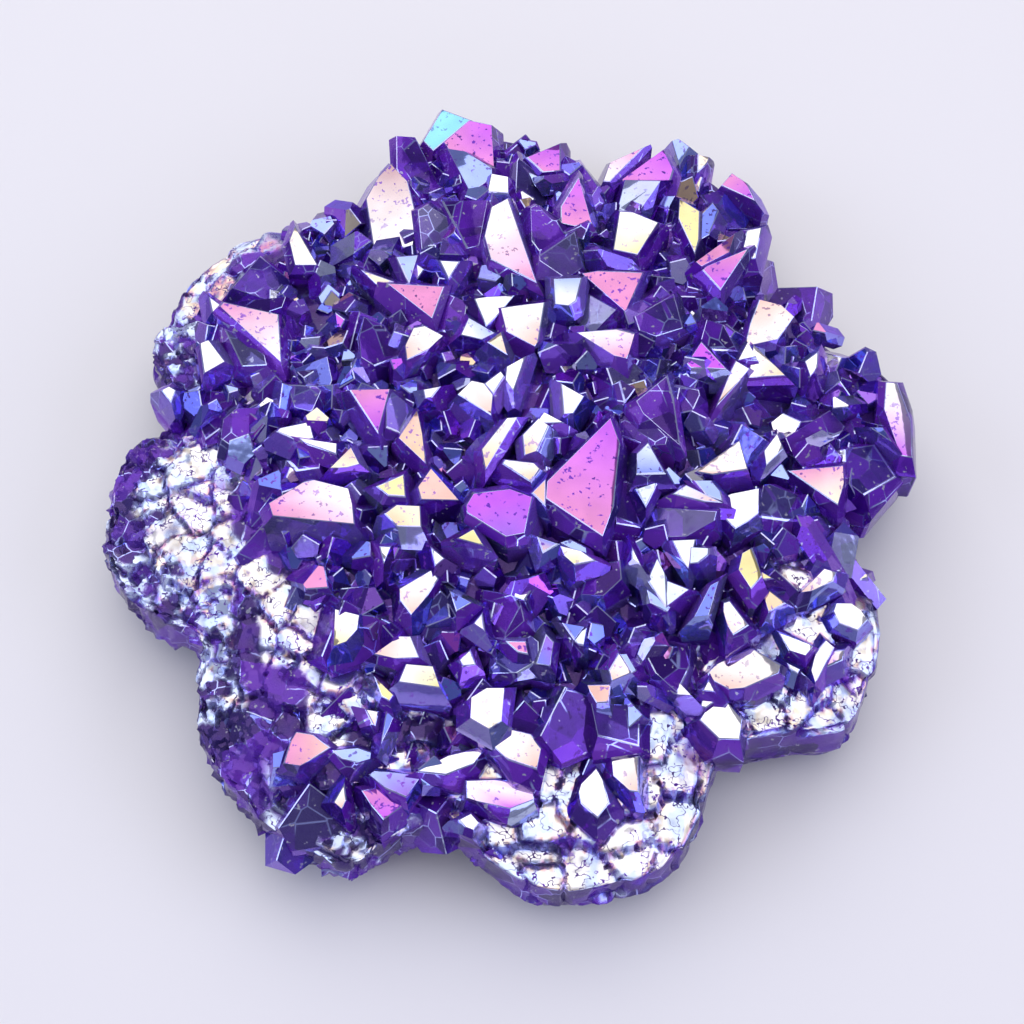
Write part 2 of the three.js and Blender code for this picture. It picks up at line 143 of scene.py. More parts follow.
# Crystals that the CAD has too: (tip x, tip y, radius, heading, lean, spin). Those that lean
# so far that a tip face lies level have their shape from FLASHES here.
LEVEL_LEAN = 44
CRYSTALS = [
    # Back petals.
    (-2.2, 38.0, 3.4, 60, 40), (-7.2, 38.3, 2.8, 100, 46), (-3.5, 32.6, 3.2, 90, 26),
    (1.6, 37.4, 3.0, 80, 22), (-11.0, 34.6, 3.8, 100, 14), (-11.3, 29.6, 3.3, 90, 48),
    (-5.6, 25.0, 3.9, 95, 10), (3.6, 29.8, 2.4, 270, 50), (1.8, 29.2, 2.8, 90, 14, 20),
    (6.6, 27.4, 3.0, 80, 50), (13.5, 28.0, 3.3, 270, 50), (9.3, 31.0, 2.4, 200, 48),
    (16.6, 36.0, 2.8, 90, 18), (24.2, 28.6, 2.8, 305, 48), (5.6, 32.4, 2.4, 80, 24, 30),
    (12.4, 32.6, 2.2, 110, 20), (23.4, 22.2, 2.6, 40, 22), (28.2, 17.6, 2.4, 30, 24),
    # Upper middle.
    (-7.0, 10.2, 2.8, 285, 52), (2.3, 14.6, 3.6, 283, 50), (10.3, 11.2, 3.0, 280, 52),
    (6.2, 10.8, 2.0, 285, 50), (-1.7, 9.4, 2.2, 265, 52), (2.4, 7.0, 2.4, 280, 52),
    (9.8, 5.4, 2.9, 285, 52), (11.5, 19.3, 2.6, 280, 50), (17.0, 19.6, 2.6, 285, 48),
    (19.0, 15.2, 4.0, 285, 36), (16.6, 8.6, 2.4, 100, 48), (22.0, 9.5, 2.8, 250, 50),
    (24.0, 5.2, 2.6, 300, 50), (6.4, 19.4, 3.0, 90, 16, 20), (-1.0, 20.0, 3.2, 100, 14),
    (13.4, 14.6, 2.6, 80, 24, 30), (-12.4, 19.4, 2.6, 100, 22, 20), (26.6, 12.0, 2.4, 350, 30),
    # Upper left.
    (-19.6, 7.8, 3.3, 290, 52), (-22.0, 20.2, 3.6, 100, 15), (-25.8, 19.2, 2.2, 120, 25),
    (-20.3, 24.2, 2.3, 100, 45), (-16.6, 17.0, 2.0, 95, 45), (-16.2, 25.5, 2.4, 110, 20),
    (-13.0, 11.4, 2.8, 95, 16, 30), (-26.0, 12.4, 3.0, 120, 18), (-12.0, 24.6, 2.0, 95, 28),
    # Left.
    (-26.5, 4.6, 3.8, 110, 12), (-21.5, 2.5, 3.6, 60, 12), (-17.5, 4.2, 2.2, 90, 15),
    (-14.6, -2.6, 2.4, 320, 50), (-15.3, -5.2, 4.2, 90, 47), (-8.7, 5.2, 2.2, 230, 50),
    (-12.4, 3.6, 2.2, 95, 14, 20), (-19.6, -7.4, 2.8, 100, 20), (-10.0, -7.4, 2.2, 90, 12, 30),
    (-16.8, -12.8, 2.0, 100, 14, 20),
    # Middle.
    (-11.0, -1.3, 2.5, 275, 52), (-1.6, 0.0, 2.4, 290, 52), (-7.6, -0.4, 3.0, 100, 30, 30),
    (-6.4, -5.0, 2.3, 92, 50), (-8.4, -10.2, 2.0, 270, 50), (0.0, -11.6, 3.2, 290, 50),
    (0.6, -0.4, 2.4, 60, 45),
    # Right.
    (8.6, 0.0, 5.5, 80, 47), (12.2, -2.5, 2.4, 90, 30), (15.3, -7.9, 3.4, 270, 50),
    (18.5, -9.4, 2.3, 260, 50), (17.6, -4.6, 2.6, 275, 52), (13.5, 3.8, 3.6, 60, 20),
    (27.5, 2.3, 3.2, 45, 25), (27.0, -6.6, 4.2, 285, 50), (26.8, -10.6, 2.6, 280, 50),
    (12.2, -16.8, 2.2, 270, 50), (31.4, 0.6, 3.4, 20, 24, 30),
    # Lower left.
    (-14.0, -26.5, 2.2, 350, 48), (-13.0, -16.0, 2.6, 90, 22, 24), (-5.4, -23.0, 2.1, 320, 50),
    (-6.6, -24.0, 3.0, 90, 12, 30), (-9.8, -32.2, 3.2, 272, 46), (-7.5, -17.4, 2.3, 235, 50),
    (-5.4, -15.4, 2.6, 90, 16), (-15.6, -29.2, 2.6, 100, 20), (-5.6, -31.6, 2.6, 280, 30),
    (-17.2, -31.2, 2.2, 110, 18, 20),
    # Lower middle.
    (-1.8, -26.0, 2.2, 265, 50), (4.4, -23.0, 2.8, 90, 26, 30),
    # Lower right.
    (18.7, -22.2, 3.6, 268, 52), (12.6, -18.0, 3.3, 90, 24), (10.6, -20.6, 2.3, 90, 20),
    (28.4, -17.0, 2.0, 270, 48),
]

# Smaller crystals between them, in the same form.
SMALL_CRYSTALS = [
    (-4.5, -8.3, 1.5, 90, 35), (19.6, 0.4, 1.9, 90, 24, 20), (-12.8, -22.0, 1.9, 95, 20),
    (-1.2, -15.0, 1.9, 90, 6), (2.7, -18.4, 1.4, 90, 20), (5.7, -19.6, 1.5, 290, 42),
    (7.0, -16.4, 1.2, 90, 15), (1.2, -24.0, 1.7, 90, 18), (-2.0, -22.2, 1.6, 80, 26, 30),
    (15.4, -17.0, 1.8, 90, 14, 20), (21.6, -12.4, 1.5, 90, 20),
]

SMALL_SINK = (-0.2, 0.5)

# The facets' corners were read, in pixels, from the picture that the camera is matched to. It
# is this wide and high, and this pixel of it shows this place of the plan.
PICTURE_SIDE = 1024
TARGET_PIXEL = (509.0, 512.0)
TARGET_PLACE = (0.0, -4.0, 8.0)
# Most were read in enlarged parts of it: the left and top edge, and how much larger. P is all
# of it.
PARTS = {
    "P": (0, 0, 1.0),
    "a": (130, 200, 4.625),
    "b": (330, 100, 4.224),
    "c": (560, 110, 4.048),
    "d": (120, 340, 4.224),
    "e": (330, 280, 4.224),
    "f": (530, 280, 4.224),
    "g": (700, 300, 4.224),
    "h": (180, 560, 3.6),
    "i": (380, 480, 4.224),
    "j": (560, 480, 4.048),
    "k": (600, 560, 3.352),
    "l": (400, 640, 4.048),
}

# The facets that flash: the part they were read in, the letters of their colours at the tip and
# away from it, then the pixels of their corners, across and down, the tip first.
FLASHES = [
    # Back petals.
    ("b", "t", 470, 60, 395, 165, 430, 185, 595, 105),
    ("b", "mp", 685, 140, 590, 130, 480, 190, 510, 215, 690, 262),
    ("c", "a", 485, 205, 450, 125, 480, 115, 520, 145),
    ("c", "c", 590, 225, 557, 240, 555, 195, 600, 205),
    ("b", "a", 590, 360, 500, 230, 560, 235, 680, 280, 685, 310),
    ("b", "pm", 900, 290, 830, 250, 970, 215, 970, 290),
    ("c", "wp", 175, 265, 200, 215, 320, 190, 205, 270),
    ("c", "pm", 290, 310, 250, 265, 410, 200, 455, 260, 430, 320),
    ("c", "mp", 790, 370, 655, 300, 690, 275, 750, 310),
    ("b", "w", 665, 375, 680, 320, 750, 330, 750, 380),
    # Upper left.
    ("b", "nw", 260, 320, 200, 370, 150, 435, 180, 575, 345, 570, 365, 480, 330, 370),
    ("a", "cw", 770, 150, 738, 210, 760, 295, 860, 280), ("a", "w", 370, 455, 440, 490, 380, 510),
    ("b", "c", 200, 780, 135, 730, 265, 760), ("b", "a", 330, 760, 280, 670, 370, 655),
    ("a", "wp", 695, 738, 430, 535, 445, 522, 690, 530, 690, 640),
    ("a", "w", 345, 800, 325, 690, 370, 665, 435, 740),
    # Upper middle.
    ("c", "mp", 70, 310, 0, 395, 5, 445, 60, 460, 130, 455),
    ("b", "pw", 870, 740, 680, 660, 650, 580, 680, 480, 750, 452, 800, 560),
    ("c", "yw", 315, 570, 218, 550, 238, 432, 300, 440, 395, 480),
    ("b", "w", 500, 740, 465, 680, 545, 680), ("c", "p", 268, 805, 90, 655, 155, 650, 330, 670),
    ("e", "pp", 430, 155, 255, 25, 480, 25), ("e", "w", 660, 185, 607, 85, 690, 75, 775, 72, 712, 140),
    ("f", "wa", 165, 100, 105, 95, 98, 0, 215, 0, 195, 85),
    ("e", "wa", 553, 230, 590, 160, 690, 215, 640, 245),
    ("e", "ow", 865, 270, 745, 215, 722, 120, 795, 110, 905, 100, 880, 250),
    # Upper right.
    ("c", "y", 548, 555, 480, 440, 478, 380, 560, 430, 560, 520),
    ("c", "b", 565, 510, 560, 440, 610, 405, 635, 430, 600, 500),
    ("c", "w", 735, 600, 750, 510, 810, 510, 790, 600),
    ("c", "p", 550, 605, 700, 535, 680, 590, 575, 625),
    ("c", "mp", 655, 715, 580, 635, 600, 620, 745, 590),
    ("g", "wo", 330, 165, 195, 170, 210, 100, 250, 5, 340, 40, 390, 90),
    # Left.
    ("a", "w", 185, 930, 150, 890, 180, 870, 210, 880),
    ("d", "w", 815, 405, 795, 335, 680, 375, 665, 395, 760, 425),
    ("e", "mp", 203, 640, 85, 480, 255, 460), ("d", "w", 910, 475, 915, 430, 760, 425, 790, 440),
    ("e", "oc", 85, 700, 0, 795, 60, 790, 125, 770),
    ("P", "wp", 347, 486, 314, 480, 305, 483, 271, 509, 275, 522, 355, 523, 353, 505),
    # Middle.
    ("e", "ow", 325, 335, 318, 280, 355, 205, 400, 195, 480, 230, 415, 285),
    ("e", "oc", 752, 325, 667, 270, 722, 232),
    ("f", "pw", 405, 335, 345, 315, 205, 215, 355, 210, 440, 235, 415, 320),
    ("e", "w", 405, 505, 395, 470, 467, 455, 430, 500),
    ("e", "ow", 680, 568, 540, 487, 600, 430, 660, 440, 690, 480),
    ("e", "w", 655, 440, 720, 390, 738, 410, 690, 485),
    ("e", "w", 775, 470, 742, 420, 748, 370, 822, 330), ("f", "w", 145, 598, 28, 597, 62, 553),
    ("f", "w", 225, 490, 135, 435, 140, 565, 185, 560),
    ("e", "go", 405, 778, 290, 665, 365, 545, 392, 640),
    ("e", "gw", 655, 795, 640, 720, 745, 585, 795, 580),
    ("e", "gw", 822, 735, 815, 650, 880, 582, 925, 615, 870, 720),
    ("e", "y", 310, 825, 200, 885, 245, 920, 320, 925),
    ("e", "o", 425, 795, 375, 880, 390, 930, 545, 930),
    ("e", "gw", 850, 850, 728, 770, 740, 750, 860, 765, 885, 795),
    ("e", "o", 910, 950, 855, 895, 915, 835),
    ("P", "mp", 611, 418, 548, 481, 546, 500, 603, 536, 613, 510, 620, 446),
    # Right.
    ("f", "m", 722, 263, 665, 340, 685, 360, 830, 385), ("g", "w", 165, 250, 200, 190, 235, 250),
    ("g", "gw", 360, 330, 205, 310, 225, 190), ("g", "w", 465, 320, 445, 260, 495, 230, 495, 290),
    ("f", "ow", 790, 515, 825, 440, 870, 345, 925, 385, 870, 440),
    ("g", "b", 805, 605, 725, 530, 770, 540),
    ("g", "mw", 850, 655, 780, 470, 780, 355, 830, 370, 885, 540, 890, 670),
    ("f", "sb", 500, 690, 455, 730, 450, 830, 570, 830),
    ("f", "ow", 770, 820, 705, 800, 885, 685, 915, 815),
    ("g", "w", 285, 690, 275, 630, 325, 565, 350, 630),
    ("g", "cp", 575, 880, 390, 700, 600, 710, 600, 790),
    ("j", "s", 345, 105, 325, 60, 310, 30, 395, 5, 370, 62),
    ("j", "os", 650, 105, 580, 95, 460, 50, 510, 18, 580, 60),
    ("j", "a", 655, 95, 590, 60, 550, 0, 610, 5, 650, 55),
    ("j", "w", 710, 200, 668, 150, 655, 65, 700, 45, 805, 38, 800, 140, 765, 168),
    # Lower left.
    ("i", "gc", 75, 205, 25, 150, 70, 110, 170, 110, 175, 205), ("i", "w", 20, 350, 0, 280, 45, 275),
    ("h", "yw", 555, 320, 558, 172, 643, 190, 640, 245, 600, 300),
    ("h", "ow", 705, 340, 790, 272, 828, 268, 860, 352, 770, 355),
    ("h", "ow", 690, 575, 665, 515, 710, 520, 700, 580),
    ("h", "y", 700, 405, 765, 475, 750, 500, 725, 480),
    ("h", "b", 725, 640, 740, 515, 765, 545, 735, 620),
    ("h", "b", 370, 735, 335, 740, 330, 680, 375, 665),
    ("h", "op", 535, 655, 470, 605, 415, 595, 395, 640, 375, 730, 430, 735, 480, 700),
    ("h", "a", 640, 710, 580, 700, 545, 665, 640, 650, 720, 680),
    ("h", "ow", 580, 885, 555, 860, 585, 785, 595, 850),
    ("h", "mp", 735, 925, 685, 870, 650, 810, 700, 800, 815, 855),
    ("h", "la", 815, 845, 740, 815, 680, 760, 700, 745, 870, 752),
    # Lower middle.
    ("i", "lm", 535, 250, 370, 150, 365, 120, 395, 60, 545, 38, 645, 80, 610, 235),
    ("i", "w", 235, 360, 215, 280, 275, 330), ("i", "y", 440, 285, 325, 255, 395, 215),
    ("i", "ob", 690, 310, 665, 240, 755, 270), ("j", "yw", 60, 350, 20, 310, 5, 265, 90, 290, 140, 335),
    ("j", "a", 110, 300, 70, 290, 5, 250, 45, 235, 105, 270),
    ("h", "ow", 835, 205, 795, 150, 793, 105, 905, 30, 930, 60, 890, 130),
    ("i", "b", 390, 520, 325, 560, 300, 470), ("i", "w", 440, 640, 400, 610, 430, 565),
    ("j", "b", 60, 650, 15, 575, 100, 590), ("j", "s", 75, 665, 40, 635, 110, 590, 95, 670),
    ("i", "yw", 255, 880, 80, 855, 110, 770, 225, 775),
    ("l", "w", 305, 100, 260, 105, 245, 80, 285, 35), ("l", "p", 520, 60, 480, 50, 430, 0, 510, 0),
    ("i", "bl", 660, 780, 700, 640, 735, 680, 720, 790),
    ("j", "ow", 212, 820, 200, 770, 240, 695, 290, 785),
    ("l", "cw", 360, 370, 290, 330, 290, 235, 350, 190, 425, 190, 410, 340),
    ("j", "o", 150, 910, 125, 860, 110, 825, 205, 830, 195, 905),
    ("l", "w", 70, 520, 200, 440, 350, 395, 300, 480, 180, 530),
    ("l", "l", 260, 290, 290, 330, 230, 370),
    ("l", "ow", 550, 530, 430, 480, 350, 395, 450, 350, 530, 370, 575, 440),
    ("l", "mw", 450, 665, 340, 645, 270, 625, 265, 540, 400, 535, 545, 560, 540, 630),
    ("l", "w", 800, 710, 740, 650, 725, 600, 735, 560, 800, 490, 830, 560, 850, 650),
    ("l", "w", 260, 740, 240, 710, 285, 680, 320, 720, 300, 755),
    # Lower right.
    ("j", "w", 325, 350, 292, 325, 290, 270),
    ("j", "w", 520, 365, 490, 310, 460, 235, 550, 238, 540, 290),
    ("j", "s", 560, 345, 525, 345, 530, 270, 600, 285, 605, 310),
    ("j", "y", 770, 450, 722, 370, 738, 295, 775, 278, 800, 345, 810, 400),
    ("j", "y", 800, 400, 795, 350, 862, 402),
    ("k", "ow", 680, 90, 720, 50, 760, 15, 795, 30, 785, 60, 720, 85),
    ("j", "a", 430, 545, 370, 500, 355, 445, 445, 525),
    ("j", "s", 430, 525, 355, 410, 395, 310, 432, 400),
    ("j", "s", 430, 525, 428, 400, 520, 450, 465, 495),
    ("j", "b", 545, 560, 610, 430, 640, 415, 600, 560),
    ("j", "g", 850, 528, 830, 460, 820, 400, 912, 495),
    ("k", "w", 870, 225, 815, 195, 795, 150, 805, 120, 850, 125, 885, 160, 900, 195),
    ("j", "ow", 680, 600, 660, 530, 665, 495, 690, 490, 760, 600, 700, 635),
    ("k", "w", 695, 305, 640, 280, 610, 210, 680, 245, 720, 275),
    ("k", "w", 725, 400, 715, 350, 735, 290, 765, 250, 790, 275, 745, 372),
    ("k", "pw", 760, 345, 770, 310, 785, 285, 825, 285, 820, 320),
    ("j", "a", 308, 775, 292, 785, 243, 695, 270, 700), ("j", "w", 580, 845, 605, 795, 625, 850),
    ("j", "ow", 690, 835, 620, 790, 610, 755, 650, 710, 790, 655, 840, 695, 895, 740, 890, 775, 760, 830),
    ("k", "w", 670, 365, 645, 345, 640, 325, 675, 350), ("k", "w", 710, 390, 690, 365, 680, 350),
    ("j", "w", 535, 860, 480, 855, 465, 840, 485, 795),
    ("j", "w", 600, 905, 580, 895, 585, 855, 635, 880),
    ("k", "w", 340, 520, 370, 470, 430, 460, 480, 530, 470, 600, 400, 590),
    ("l", "ow", 970, 610, 930, 600, 870, 530, 860, 450, 970, 445),
]

# Large bare faces, in the picture's own pixels.
BARE_FACES = [
    (396, 150, 418, 147, 441, 178, 412, 189, 398, 175),
    (516, 166, 522, 160, 549, 180, 546, 190, 515, 196),
    (557, 153, 575, 162, 600, 185, 589, 191, 560, 168),
    (622, 186, 662, 190, 650, 203, 630, 212, 619, 200),
    (231, 275, 242, 262, 249, 268, 222, 295, 217, 292),
    (418, 215, 436, 207, 459, 222, 460, 255, 424, 258), (449, 205, 488, 207, 478, 245, 461, 243),
    (530, 216, 542, 212, 579, 230, 578, 238, 546, 253, 533, 245),
    (231, 302, 288, 293, 278, 311, 238, 310), (264, 258, 292, 273, 297, 287, 229, 300, 250, 272),
    (538, 256, 577, 240, 582, 262, 571, 272, 541, 270), (229, 331, 262, 350, 268, 368, 238, 362),
    (360, 340, 366, 318, 388, 325, 400, 342, 380, 362, 362, 362),
    (443, 290, 467, 300, 462, 325, 450, 330, 432, 318),
    (585, 290, 605, 300, 619, 312, 590, 324, 580, 312),
    (633, 315, 675, 300, 682, 325, 660, 335, 640, 332),
    (708, 320, 725, 325, 735, 345, 715, 350, 700, 340),
    (195, 387, 230, 382, 236, 402, 215, 425, 200, 430, 192, 400),
    (289, 385, 310, 380, 322, 390, 310, 410, 292, 402),
    (293, 365, 325, 352, 332, 375, 325, 388, 300, 380), (605, 362, 640, 360, 652, 372, 615, 385),
    (670, 380, 697, 385, 700, 398, 690, 410, 674, 405),
    (240, 405, 270, 398, 272, 440, 255, 452, 222, 445, 225, 420),
    (387, 402, 394, 392, 410, 405, 402, 430, 386, 432),
    (620, 402, 631, 402, 668, 436, 665, 448, 640, 440, 622, 425),
    (632, 401, 669, 380, 674, 400, 679, 440, 650, 425),
    (783, 430, 836, 410, 842, 418, 812, 452, 797, 458),
    (846, 440, 880, 445, 892, 470, 870, 495, 850, 480), (280, 441, 320, 452, 318, 468, 290, 462),
    (765, 480, 790, 478, 838, 512, 800, 525, 768, 532, 760, 510),
    (614, 475, 632, 480, 640, 520, 618, 525),
    (655, 505, 700, 507, 718, 510, 712, 530, 680, 538, 660, 530),
    (482, 585, 518, 590, 525, 625, 490, 645, 480, 620),
    (590, 565, 620, 560, 622, 585, 600, 597, 582, 590),
    (490, 655, 525, 630, 538, 640, 538, 668, 505, 675, 490, 668),
    (640, 625, 660, 622, 693, 634, 692, 655, 680, 690, 662, 680, 645, 655),
    (545, 700, 580, 700, 590, 735, 560, 745, 540, 720), (590, 700, 640, 705, 640, 740, 600, 745),
]

# How far over the dome the corners of both kinds were taken to lie, and how far they are
# rounded, in decimals of a millimetre.
FLASH_RISE = 0.4
BARE_FACE_RISE = -0.1
READING_STEPS = 15
DECIMALS = 1

# The tiny crystals that line the gaps.
TINY_TRIES = 12000
TINY_COUNT = 560
TINY_RADIUS = (0.55, 1.3)
TINY_LEAN = (4, 62)
# How far a tip stands over the surface in radii, and how deep its root goes.
TINY_RISE = (0.5, 1.5)
TINY_ROOT = 0.4
TINY_REACH = 0.93
TINY_GAP = 0.9
TINY_SPACING = 0.62
TINY_COATS = "wwcgpmllaaabbbbvvvvvvvvvvv"

# A range of directions fades in from this far outside its ends to this far inside them.
ARC_OUTER = 2
ARC_INNER = 4

# Foil-like crust: directions in degrees, where it starts as a share of the distance to the
# outline, how far down the wall it reaches, as a height, and the least value of a noise from
# -1 to 1 where it isn't left open.
FOIL_ARCS = [
    (259, 305, 0.74, 2.6, -1.0),
    (305, 337, 0.73, 3.0, -0.5),
    (172, 215, 0.65, 1.6, -0.16),
    (209, 258, 0.65, 1.6, -0.16),
    (130, 168, 0.82, 5.0, -0.3),
]
# Here and below a noise or a pattern of cells has a size and a seed.
FOIL_GAPS = (3.6, 8)
# Its inner edge is ragged: shares of the distance to the outline, sizes and seeds of noises.
FOIL_RAGGED = ((0.05, 3.1, 5), (0.03, 1.2, 6))
# How softly it ends at its arcs' ends, inwards, downwards and round its gaps.
FOIL_INNER = 3
FOIL_EASE = 0.03
FOOT_EASE = 0.5
FOOT_RAGGED = 8
GAP_EASE = (0.12, 0.04)
WARPS = ((2.6, 21), (2.6, 22), (2.6, 23))
WARP_REACH = 0.8
PLATES = (3.8, 11)
PLATE_LIFT = 0.32
PLATE_TILT = 0.08
PLATE_LEVEL = 0.58
PLATE_RISE = 1.1
PILLOW_EDGE = 0.45
# Plates are made level over these heights, and nothing is lifted near the flat base.
LEVEL_START = (5.6, 6.8)
LIFT_START = (0.2, 1.6)
CRACK_DEPTH = 0.2
CRACK_WIDTH = 0.13
CHIPS = (1.15, 12)
CHIP_TILT = 0.1
CREASES = (0.9, 16)
CREASE_LIFT = 0.05
GRAIN = (0.4, 13)
GRAIN_LIFT = 0.02
WAVES = (3.4, 14)
WAVE_LIFT = 0.25
RIPPLES = (0.9, 15)
RIPPLE_LIFT = 0.006
FOIL_SINK = 0.35
# The gritty rim: its directions in degrees, where it starts as a share of the distance to the
# outline, how much steeper its chips lie, and the share of them that is bare.
GRIT_ARC = (148, 262)
GRIT_START = 0.83
GRIT_EASE = 0.04
GRIT_RAGGED = (2.6, 7)
GRIT_TILT = 4.0
GRIT_BARE = 0.42
# The top's points lie on grids that reach this far, finer where the crust is foil-like by more
# than FINE_OVER, jittered and kept off the rim by shares of a step.
FINE_STEP = 0.29
COARSE_STEP = 0.9
FINE_OVER = 0.02
GRID_REACH = 39
GRID_JITTER = 0.3
GRID_MARGIN = 0.6
# When those grids ask where the crust is foil-like, their points count as at least this high.
TOP_LEAST = 8.0

# The facets' crystals: how far the level face stands over the dome, its slope, the angles of
# the faces round it from upright, how far out the walls under those stand, and the depth.
FACET_RISE = (0.25, 0.75)
FACET_SLOPE = 0.05
BARE_SLOPE = (0.3, 0.48)
BARE_RISE = (-0.9, 0.1)
FACET_SIDES = (44, 74)
FACET_WALL = (0.5, 1.3)
FACET_DEPTH = 5.0
# Facets in the foil-like crust lie this much lower.
FACET_FOIL_SINK = 1.1
# No tips stand where the crust is foil-like by more than this.
FOIL_COVER = 0.3
# Tips under a facet, or this near to one, are sunk.
FACET_MARGIN = 0.5
COVERED_SINK = 1.5

# How much is worn off the edges round the level face.
FACET_WEAR = (0.006, 0.045)
RIDGE_WEAR = 0.05

# The numbers of a crystal's faces: its sides are 0 to 5, and its tip's faces follow LEVEL_FACE.
LEVEL_FACE = 10
BASE_FACE = 20
SLANTED_FACE = 30
SIDE_WALL = 50
CORNER_WALL = 70
WORN_EDGE = 90


# ---- Helpers ---------------------------------------------------------------------------------


def product32(a, b):
    return (a * b) & 0xFFFFFFFF


def make_random(seed):
    """A small repeatable source of numbers from 0 to 1, the same as in the CAD source."""
    state = seed

    def draw():
        nonlocal state
        state = (state + 0x6D2B79F5) & 0xFFFFFFFF
        mixed = product32(state ^ (state >> 15), 1 | state)
        mixed = ((mixed + product32(mixed ^ (mixed >> 7), 61 | mixed)) & 0xFFFFFFFF) ^ mixed
        return (mixed ^ (mixed >> 14)) / 4294967296

    return draw


def between(limits, draw):
    return limits[0] + (limits[1] - limits[0]) * draw()


def pick(letters, share):
    return letters[int(share * len(letters))]


def smoothstep(low, high, value):
    share = np.clip((value - low) / (high - low), 0, 1)
    return share * share * (3 - 2 * share)


def tip_height(x, y):
    spread = (x * x + y * y) / DOME_RADIUS**2
    return DOME_TOP - DOME_FALL * np.minimum(spread, DOME_FALL_LIMIT)


def curve_points(steps):
    """Points on the closed smooth curve through the petals' corners."""
    corners = np.array(
        [
            (d * math.cos(math.radians(a)), d * math.sin(math.radians(a)))
            for petal in PETALS
            for a, d in petal
        ]
    )
    count = len(corners)
    place = np.arange(steps) * count / steps
    index = np.floor(place).astype(int)
    t = (place - index)[:, None]
    before, start, end, after = (corners[(index + k) % count] for k in (-1, 0, 1, 2))
    enter, leave = 0.5 * (end - before), 0.5 * (after - start)
    return (
        start * (2 * t**3 - 3 * t**2 + 1)
        + end * (3 * t**2 - 2 * t**3)
        + enter * (t**3 - 2 * t**2 + t)
        + leave * (t**3 - t**2)
    )


OUTLINE = curve_points(OUTLINE_STEPS)
FINE_OUTLINE = curve_points(4 * RIM_STEPS)
FINE_ANGLE = np.unwrap(np.arctan2(FINE_OUTLINE[:, 1], FINE_OUTLINE[:, 0]))
FINE_REACH = np.hypot(FINE_OUTLINE[:, 0], FINE_OUTLINE[:, 1])


def cad_outline_radius(x, y):
    """The distance to the nearest of the CAD outline's corners, as the CAD source takes it."""
    length = np.hypot(OUTLINE[:, 0], OUTLINE[:, 1])
    return length[np.argmax((OUTLINE[:, 0] * x + OUTLINE[:, 1] * y) / length)]


def outline_radius(x, y):
    """The distance from the middle to the smooth outline, for arrays of places."""
    start = FINE_ANGLE[0]
    turn = (np.arctan2(y, x) - start) % (2 * math.pi) + start
    angle = np.append(FINE_ANGLE, start + 2 * math.pi)
    return np.interp(turn, angle, np.append(FINE_REACH, FINE_REACH[0]))


# A cell's middle stays this far off the cell's edge, and varies over this much.
CELL_EDGE = 0.12
CELL_SPREAD = 0.76


def cells(points, size, seed):
    """The nearest cell of a jittered grid: its middle, four numbers of its own, and how much
    further the next cell's middle is."""
    grid = np.floor(points / size).astype(np.int64)
    best = np.full((2, len(points)), np.inf)
    middle = np.zeros_like(points)
    own = np.zeros((len(points), 4))
    for dx in (-1, 0, 1):
        for dy in (-1, 0, 1):
            for dz in (-1, 0, 1):
                cell = grid + (dx, dy, dz)
                numbers = cell_numbers(cell, seed)
                place = (cell + CELL_EDGE + CELL_SPREAD * numbers[:, :3]) * size
                distance = np.linalg.norm(points - place, axis=1)
                nearer = distance < best[0]
                best[1] = np.where(nearer, best[0], np.minimum(best[1], distance))
                best[0] = np.where(nearer, distance, best[0])
                middle[nearer] = place[nearer]
                own[nearer] = numbers[nearer][:, 3:]
    return middle, own, best[1] - best[0]


def cell_numbers(cell, seed):
    """Seven repeatable numbers from 0 to 1 for each whole-numbered cell."""
    key = (cell[:, 0] * 73856093) ^ (cell[:, 1] * 19349663) ^ (cell[:, 2] * 83492791) ^ seed
    columns = []
    for step in range(7):
        mixed = (key + step * 2654435761) & 0xFFFFFFFF
        for shift, factor in ((16, 0x45D9F3B), (16, 0x45D9F3B), (16, 1)):
            mixed = ((mixed ^ (mixed >> shift)) * factor) & 0xFFFFFFFF
        columns.append(mixed / 4294967296)
    return np.stack(columns, axis=1)


def ripple(points, size, seed):
    """Smooth noise from -1 to 1, blended between the corners of a grid."""
    scaled = points / size
    low = np.floor(scaled).astype(np.int64)
    part = scaled - low
    part = part * part * (3 - 2 * part)
    total = np.zeros(len(points))
    for dx in (0, 1):
        for dy in (0, 1):
            for dz in (0, 1):
                weight = np.prod(np.where((dx, dy, dz), part, 1 - part), axis=1)
                total += weight * cell_numbers(low + (dx, dy, dz), seed)[:, 0]
    return 2 * total - 1


def add_object(name, data):
    piece = bpy.data.objects.new(name, data)
    bpy.context.scene.collection.objects.link(piece)
    return piece


def mesh_object(name, vertices, faces):
    mesh = bpy.data.meshes.new(name)
    mesh.from_pydata([tuple(v) for v in vertices], [], [tuple(f) for f in faces])
    mesh.update()
    return add_object(name, mesh)


def set_values(mesh, name, kind, domain, values):
    layer = mesh.attributes.get(name) or mesh.attributes.new(name, kind, domain)
    layer.data.foreach_set("value", values)


def read_rows(rows, name, dtype, width=1):
    values = np.zeros(len(rows) * width, dtype)
    rows.foreach_get(name, values)
    return values.reshape(-1, width) if width > 1 else values


def get_values(mesh, name, dtype):
    return read_rows(mesh.attributes[name].data, "value", dtype)


# ---- Crust ------------------------------------------------------------------------------------


def arc_share(x, y, arc, inner=ARC_INNER):
    """How far each place lies inside a range of directions in degrees, from 0 to 1."""
    start, end = arc
    direction = np.degrees(np.arctan2(y, x)) % 360
    enters = smoothstep(start - ARC_OUTER, start + inner, direction)
    return enters * smoothstep(-end - ARC_OUTER, -end + inner, -direction)


